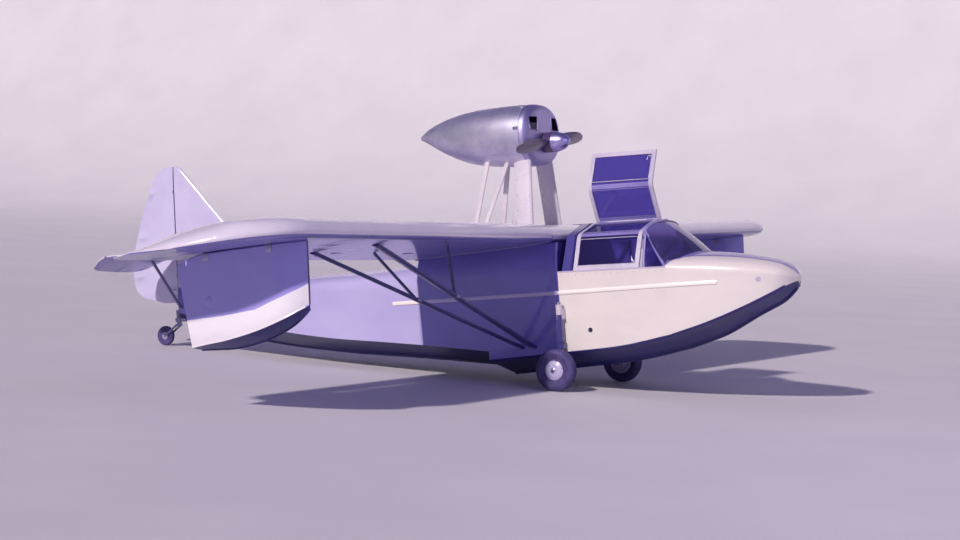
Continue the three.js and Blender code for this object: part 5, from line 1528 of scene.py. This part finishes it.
make_piece("propeller_wood", prop, "propeller", [stained_wood, tip_brass, bright_metal],
           ["propeller"], crease=42)

dome = Stock()
dome_rows = faired([(96, 0), (88, 55), (63, 115), (29, 150), (2, 160)], 5)
dome.turn(dome_rows, (-235.7, 0, SHAFT_Z), (1, 0, 0), 48)
for k in range(8):
    t = math.radians(45 * k)
    out = Vector((0.1, math.cos(t), math.sin(t))).normalized()
    rivet(dome, Vector((-226, 94.3 * math.cos(t), SHAFT_Z + 94.3 * math.sin(t))), out, 4)
make_piece("spinner_dome", dome, "propeller", [spinner_sheet], ["spinner"])

# ---- Engine pylon ----
# Two faired legs in front and a slim vee behind on each side, all steel tube under white enamel. They
# stand on the wing's skin and carry the engine high above the spray.
fairing_white = painted_metal("white enamel on faired legs", "#dad3de", "#cdc5d5", roughness=0.26)
for name, side in SIDES:
    leg = Stock()
    low_end, high_end = Vector((-431, 304, 1445)), Vector((-470, 215, 2162))
    stations = (0, 0.03, 0.25, 0.5, 0.75, 0.97, 1)
    leg.sweep([low_end.lerp(high_end, f) for f in stations], streamlined(176, 62, 14), (1, 0, 0))
    run = (high_end - low_end).normalized()
    # A cuff at each end, screwed round the fairing.
    for end, inward in ((low_end, run), (high_end, -run)):
        leg.sweep([end + inward * 3, end + inward * 26], streamlined(182, 67, 14), (1, 0, 0))
    for f in (0.12, 0.3, 0.5, 0.7, 0.88):
        for x in (-62, 40):
            centre = low_end.lerp(high_end, f)
            thick = 31 * (0.62 if x < 0 else 0.86)
            for out in (-1, 1):
                rivet(leg, centre + Vector((x, out * thick, 0)), (0, out, 0), 4.5, 1)
    make_piece(f"pylon_fairing_{name}", leg.on(side), "hull", [fairing_white, bright_metal],
               [f"pylon_front_{name}"])
    vee = Stock()
    for foot, head, chord, thick in (((-1000, 302, 1372), (-838, 202, 2162), 52, 24),
                                     ((-913, 302, 1390), (-610, 214, 2162), 44, 20)):
        foot, head = Vector(foot), Vector(head)
        vee.sweep([foot.lerp(head, f) for f in (0, 0.5, 1)], streamlined(chord, thick), (1, 0, 0))
        run = (head - foot).normalized()
        for cuff in ([head - run * 60, head], [foot, foot + run * 66]):
            vee.sweep(cuff, streamlined(chord + 6, thick + 6), (1, 0, 0))
    vee.block((-1033, 289, 1381), (-887, 315, 1435), 4)
    for x in (-1000, -913):
        vee.rod((x, 284, 1412), (x, 320, 1412), 7, 10, 1)
    make_piece(f"pylon_vee_{name}", vee.on(side), "hull", [white_tube, bright_metal],
               [f"pylon_rear_{name}"])

# ---- Landing gear ----
# Oleo legs bolted to the cockpit's sides, cast wheels with pressed caps and ribbed tyres. On the real craft
# the legs swing up for the water; here they are fixed down.
AXLE = (20.52, 188.89)
WHEEL_Y = 711
LEG_Y = 592


def tyre_compound(name, colour, dust):
    """Old tyre rubber: matt, with paler dust caught in the grain."""
    material, tree, place = new_material(name)
    film = add_node(tree, "TexNoise", {"Vector": place, "Scale": 14.0, "Detail": 8.0, "Roughness": 0.75})
    tone = add_node(tree, "ValToRGB", {"Fac": film.outputs["Fac"]}, stops=[(0.4, colour), (0.75, dust)])
    fine = add_node(tree, "TexNoise", {"Vector": place, "Scale": 260.0, "Detail": 2.0})
    bump = add_node(tree, "Bump", {"Height": fine.outputs["Fac"], "Strength": 0.35, "Distance": 0.0006})
    shader = add_node(tree, "BsdfPrincipled", {"Base Color": tone.outputs["Color"], "Roughness": 0.72,
                                               "Normal": bump.outputs["Normal"]})
    add_node(tree, "OutputMaterial", {"Surface": shader.outputs["BSDF"]})
    return material


rubber = tyre_compound("dusty violet black tyre rubber", "#3b3363", "#5f5592")
cap_paint = painted_metal("silver lavender enamel on wheel discs", "#b9b2d6", "#aaa2cb")
leg_paint = painted_metal("pinkish white enamel on forged legs", "#d2c8d4", "#c0b6c6")

for name, side in SIDES:
    leg = Stock()
    x, axle_z = AXLE
    # The sliding tube, the cylinder's head, two collars and the filler cap.
    for profile, z, sides, paint in (
            ([(0, 0), (20, 0), (21, 4), (21, 300), (20, 304), (20, 517)], 163, 28, 3),
            ([(27, 0), (31, 4), (31, 92), (27, 96), (21, 96)], 680, 28, 0),
            ([(21, 0), (26, 2), (26, 16), (21, 18)], 748, 28, 0),
            ([(24, 0), (28, 4), (28, 30), (24, 34), (21, 34)], 430, 28, 3),
            ([(0, 0), (17, 0), (21, 5), (21, 30), (12, 36), (0, 36)], 765, 20, 2)):
        leg.turn(profile, (x, LEG_Y, z), (0, 0, 1), sides, paint)
    leg.block((x - 34, 500, 640), (x + 34, 588, 740), 5)
    leg.block((x - 26, 482, 372), (x + 26, 590, 420), 5, 3)
    for dz, half in ((655, 34), (725, 34), (382, 26), (410, 26)):
        for dx in (-half + 10, half - 10):
            leg.turn([(6, 0), (6, 5), (4, 7), (0, 7)], (x + dx, 588, dz), (0, 1, 0), 6, 2)
    # Axle, brake plate and the torque link behind the leg.
    leg.turn([(0, 0), (24, 0), (25, 3), (25, 78), (16, 82), (16, 153), (13, 158), (0, 158)],
             (x, 578, axle_z), (0, 1, 0), 24, 1)
    leg.turn([(30, 0), (62, 4), (62, 9), (30, 11)], (x, 636, axle_z), (0, 1, 0), 32, 2)
    for z0, z1 in ((214, 300), (386, 300)):
        leg.sweep([(x - 22, LEG_Y, z0), (x - 74, LEG_Y, z1)], eased_bar(7, 13, 3), (1, 0, 0.8), 3)
    leg.rod((x - 74, LEG_Y - 18, 300), (x - 74, LEG_Y + 18, 300), 7, 12, 2)
    make_piece(f"oleo_leg_{name}", leg.on(side), "hull",
               [leg_paint, steel_paint, bright_metal, navy_tube], [f"gear_leg_{name}"])

    hub = Stock()
    centre = (x, WHEEL_Y, axle_z)
    dish = faired([(0, 66), (20, 65), (40, 61), (62, 57), (78, 49), (92, 42), (106, 35)], 3)
    hub.turn([*dish, (108.2, 33), (108.2, -46), (100, -48), (88, -46), (70, -31), (46, -53), (17, -54),
              (17, 24)], centre, (0, 1, 0), 48)
    for k in range(6):
        t = math.radians(60 * k + 12)
        at = Vector(centre) + Vector((84 * math.cos(t), 46.5, 84 * math.sin(t)))
        hub.turn([(6.5, 0), (6.5, 3), (4, 5), (0, 5)], at, (0.25 * math.cos(t), 1, 0.25 * math.sin(t)), 8, 1)
    hub.turn([(24, 0), (24, 3), (20, 6), (0, 7)], Vector(centre) + Vector((0, 63, 0)), (0, 1, 0), 24, 1)
    make_piece(f"wheel_disc_{name}", hub.on(side), f"wheel_{name}", [cap_paint, bright_metal],
               [f"wheel_hub_{name}"])

    tyre = Stock()
    half = [(108.4, 44), (118, 50), (134, 56), (150, 61.5), (162, 59), (172, 54), (180, 46.5), (185.5, 37),
            (188.5, 29)]
    tread = []
    for groove in (20, 4, -12):
        tread += [(189.8, groove + 5.5), (189.8, groove), (185.5, groove - 0.6), (185.5, groove - 3.4)]
    tread.append((189.8, -20))
    tyre.turn([*half, *tread, *[(r, -d) for r, d in reversed(half)], half[0]], centre, (0, 1, 0), 64)
    # Raised ribs on the side walls, as moulded.
    for wall in (1, -1):
        for radius, height in ((126, 53.6), (158, 60.4)):
            path = [(x + a, WHEEL_Y + wall * height, axle_z + b) for a, b in oval(radius, radius, 64)]
            tyre.sweep(path, flat_bar(1.6, 1.5), (0, 1, 0), looped=True)
    make_piece(f"tyre_{name}_ribbed", tyre.on(side), f"wheel_{name}", [rubber],
               [f"tyre_{name}"], crease=30)

# ---- Tail wheel ----
# A small solid tyre in a castoring fork, steered with the rudder, on a bolted bracket under the stern. The
# fork trails well behind its swivel.
SWIVEL_X = -4624
TAIL_AXLE = (-4800, 622)
bracket = Stock()
bracket.turn([(20, 0), (27, 3), (27, 124), (22, 127), (0, 127)], (SWIVEL_X, 0, 752), (0, 0, 1), 24)
bracket.block((-4660, -24, 759), (-4530, 24, 799), 5)
for px in (-4644, -4560, -4540):
    for side in (1, -1):
        bracket.turn([(6, 0), (6, 4), (4, 6), (0, 6)], (px, side * 24, 779), (0, side, 0), 6, 1)
make_piece("tail_mount", bracket, "hull", [steel_paint, bright_metal], ["tail_bracket"])

fork = Stock()
fork.turn([(0, 0), (27, 0), (27, 39), (0, 39)], (SWIVEL_X, 0, 712.5), (0, 0, 1), 24)
fork.block((-4650, -45, 713), (-4614, 45, 739), 6)
for side in (1, -1):
    top, bottom = Vector((-4636, side * 40, 724)), Vector((TAIL_AXLE[0], side * 40, TAIL_AXLE[1]))
    fork.sweep([top, top.lerp(bottom, 0.5) + Vector((0, 0, -6)), bottom], oval(11.5, 8, 16), (0.5, 0, 1))
    fork.turn([(15, -6), (15, 6), (10, 9), (0, 9)], bottom, (0, side, 0), 16, 1)
fork.rod((TAIL_AXLE[0], -50, TAIL_AXLE[1]), (TAIL_AXLE[0], 50, TAIL_AXLE[1]), 9, 16, 1)
make_piece("castor_fork", fork, "tail_fork", [steel_paint, bright_metal], ["tail_fork"])

roller = Stock()
centre = (TAIL_AXLE[0], 0, TAIL_AXLE[1])
roller.turn([(58, -22.5), (66, -24), (86, -24), (94, -20), (98.5, -13), (99.6, -7), (97, -5.5), (97, -2.5),
             (99.8, -1), (99.8, 1), (97, 2.5), (97, 5.5), (99.6, 7), (98.5, 13), (94, 20), (86, 24), (66, 24),
             (58, 22.5), (56, 18), (56, -18), (58, -22.5)], centre, (0, 1, 0), 48)
roller.turn([(9.9, -28), (28, -28), (31, -25), (40, -21), (57, -20), (57, 20), (40, 21), (31, 25), (28, 28),
             (9.9, 28), (9.9, -28)], centre, (0, 1, 0), 40, 1)
make_piece("tail_roller", roller, "tail_wheel", [rubber, cap_paint], ["tail_wheel"], crease=30)

# ---- Seats, pedals and engine ----
# Two foam seats covered in plum vinyl, blown up over their boards and pulled in at a welted seam. Steel
# pedals hang from a tube in the footwell. The engine shows only through the inlets, as a finned block.
CUSHION_Y = (24, 396)
# In metres: the most that a face may swell, the depth of rim that the welt holds, and the simulation's mesh.
SWELL = 0.014
WELT = 0.012
VOXEL, QUICK_VOXEL = 0.006, 0.009
BLOW_FRAMES = 20
CUSHIONS = (("base", [(552, 650), (200, 628), (176, 728), (536, 728)]),
            ("back", [(122, 640), (80, 668), (54, 1034), (112, 1046), (176, 748)]))


def stuffed(name, outline, y0, y1):
    """A cushion: a slab over an outline, blown up as cloth so that its faces swell and its edges stay."""
    slab = Stock()
    ends = [(y0, 0.9), (y0 + 9, 1.0), (y1 - 9, 1.0), (y1, 0.9)]
    mid_x = sum(p[0] for p in outline) / len(outline)
    mid_z = sum(p[1] for p in outline) / len(outline)
    slab.loft([[(mid_x + (x - mid_x) * s, y, mid_z + (z - mid_z) * s) for x, z in outline] for y, s in ends])
    cushion = placed(name, merged(name, slab))
    cushion.data.transform(PARKED)
    regrid = cushion.modifiers.new("regrid", "REMESH")
    regrid.mode = "VOXEL"
    regrid.voxel_size = VOXEL
    settle(cushion)
    # Air pressure swells the faces by up to 14 mm. The rim of each end is held by its welt.
    held = cushion.vertex_groups.new(name="welt")
    near = min(v.co.y for v in cushion.data.vertices)
    far = max(v.co.y for v in cushion.data.vertices)
    rim = [v.index for v in cushion.data.vertices if min(v.co.y - near, far - v.co.y) < WELT]
    held.add(rim, 1.0, "REPLACE")
    blown = cushion.modifiers.new("blown", "CLOTH")
    for key, value in {"quality": 5, "use_pressure": True, "uniform_pressure_force": 4.0,
                       "tension_stiffness": 30, "compression_stiffness": 30, "shear_stiffness": 10,
                       "bending_stiffness": 2, "vertex_group_mass": "welt"}.items():
        setattr(blown.settings, key, value)
    blown.settings.effector_weights.gravity = 0.0
    blown.point_cache.frame_start = 1
    blown.point_cache.frame_end = BLOW_FRAMES
    rest = [v.co.copy() for v in cushion.data.vertices]
    for moment in range(1, BLOW_FRAMES + 1):
        bpy.context.scene.frame_set(moment)
    settle(cushion)
    for v, before in zip(cushion.data.vertices, rest):
        move = v.co - before
        if move.length > SWELL:
            v.co = before + move.normalized() * SWELL
    bpy.context.scene.frame_set(1)
    rounding = cushion.modifiers.new("rounding", "SMOOTH")
    rounding.iterations = 3
    settle(cushion)
    cushion.data.shade_smooth()
    cushion.data.materials.append(seat_vinyl)
    return cushion


cushions = {part: stuffed(f"seat_{part}_port", outline, *CUSHION_Y) for part, outline in CUSHIONS}
for name, side in SIDES:
    pan = Stock()
    board_line = [(548, 642), (122, 618), (70, 652), (46, 1034), (58, 1036), (84, 662), (128, 632),
                  (546, 655)]
    pan.loft([[(x, y, z) for x, z in board_line] for y in (20, 400)])
    for part, outline in CUSHIONS:
        for y in CUSHION_Y:
            path = []
            for k, p in enumerate(outline):
                q = outline[(k + 1) % len(outline)]
                path += [(p[0] + (q[0] - p[0]) * f, y, p[1] + (q[1] - p[1]) * f) for f in (0.08, 0.5, 0.92)]
            pan.sweep(path, oval(4, 4, 8), (0, 1, 0), 1, looped=True)
    make_piece(f"seat_board_{name}", pan.on(side), "hull", [floor_ply, seat_vinyl],
               [f"seat_{name}"])
    for part, outline in CUSHIONS:
        cushion = cushions[part]
        if side < 0:
            twin = cushion.data.copy()
            twin.transform(Matrix.Scale(-1, 4, (0, 1, 0)))
            twin.flip_normals()
            cushion = placed(f"seat_{part}_starboard", twin)
        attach(cushion, "hull")

pedals = Stock()
pedals.rod((1480, -250, 770), (1480, 250, 770), 9.5, 16)
for y in (-230, -110, 110, 230):
    pedals.block((1473, y - 38, 662), (1487, y + 38, 763), 3)
    for z in (680, 700, 720, 740):
        pedals.rod((1471, y - 34, z), (1471, y + 34, z), 3, 8)
for y in (-170, 170):
    pedals.rod((1480, y, 772), (1480, y, 984), 8, 14)
make_piece("pedal_set", pedals, "hull", [steel_paint], ["rudder_pedals"])

engine = Stock()
engine.block((-990, -148, 2200), (-480, 148, 2496), 8)
engine.block((-872, -220, 2164), (-702, 220, 2398), 8)
for side in (1, -1):
    for row in range(14):
        z = 2176 + row * 19
        engine.block((-776, side * 140, z), (-480, side * 238, z + 7), 1.5)
    engine.block((-770, side * 130, 2168), (-490, side * 214, 2430), 6, 1)
engine.rod((-482, 0, SHAFT_Z), (-327, 0, SHAFT_Z), 33, 24, 1)
cast_metal = polished_metal("sooty cast aluminium", "#7d78a0", 0.5)
make_piece("engine_casting", engine, "hull", [cast_metal, steel_paint], ["engine_block"])

# ---- Fittings on the hull ----
# What shows on the hull's skin: a dark drain bung and a painted mooring eye plate a side, and a row of
# plated screws below the sill.
fittings = Stock()
BUNG = [(22, -3), (22, 2), (18, 3), (15, 1), (0, 1)]
EYE_PLATE = [(22, -4), (22, 3), (17, 5), (13, 1), (0, 1)]
for side in (1, -1):
    for x, z, profile, way, paint in ((289, 534, BUNG, (0, side, -0.05), 1),
                                      (1850, 921, EYE_PLATE, (0.5, side, -0.2), 2)):
        at = side_point(x, z)
        fittings.turn(profile, (at.x, side * at.y, at.z), way, 20, paint)
    for x in spaced(40, 1020, 70):
        at = side_point(x, 1040)
        fittings.turn([(4.5, -1), (3.5, 1), (0, 1.6)], (x, side * at.y, 1040), (0, side, 0), 8)
make_piece("hull_fittings", fittings, "hull", [plated_steel, black_crackle, sill_enamel])

low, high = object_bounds()
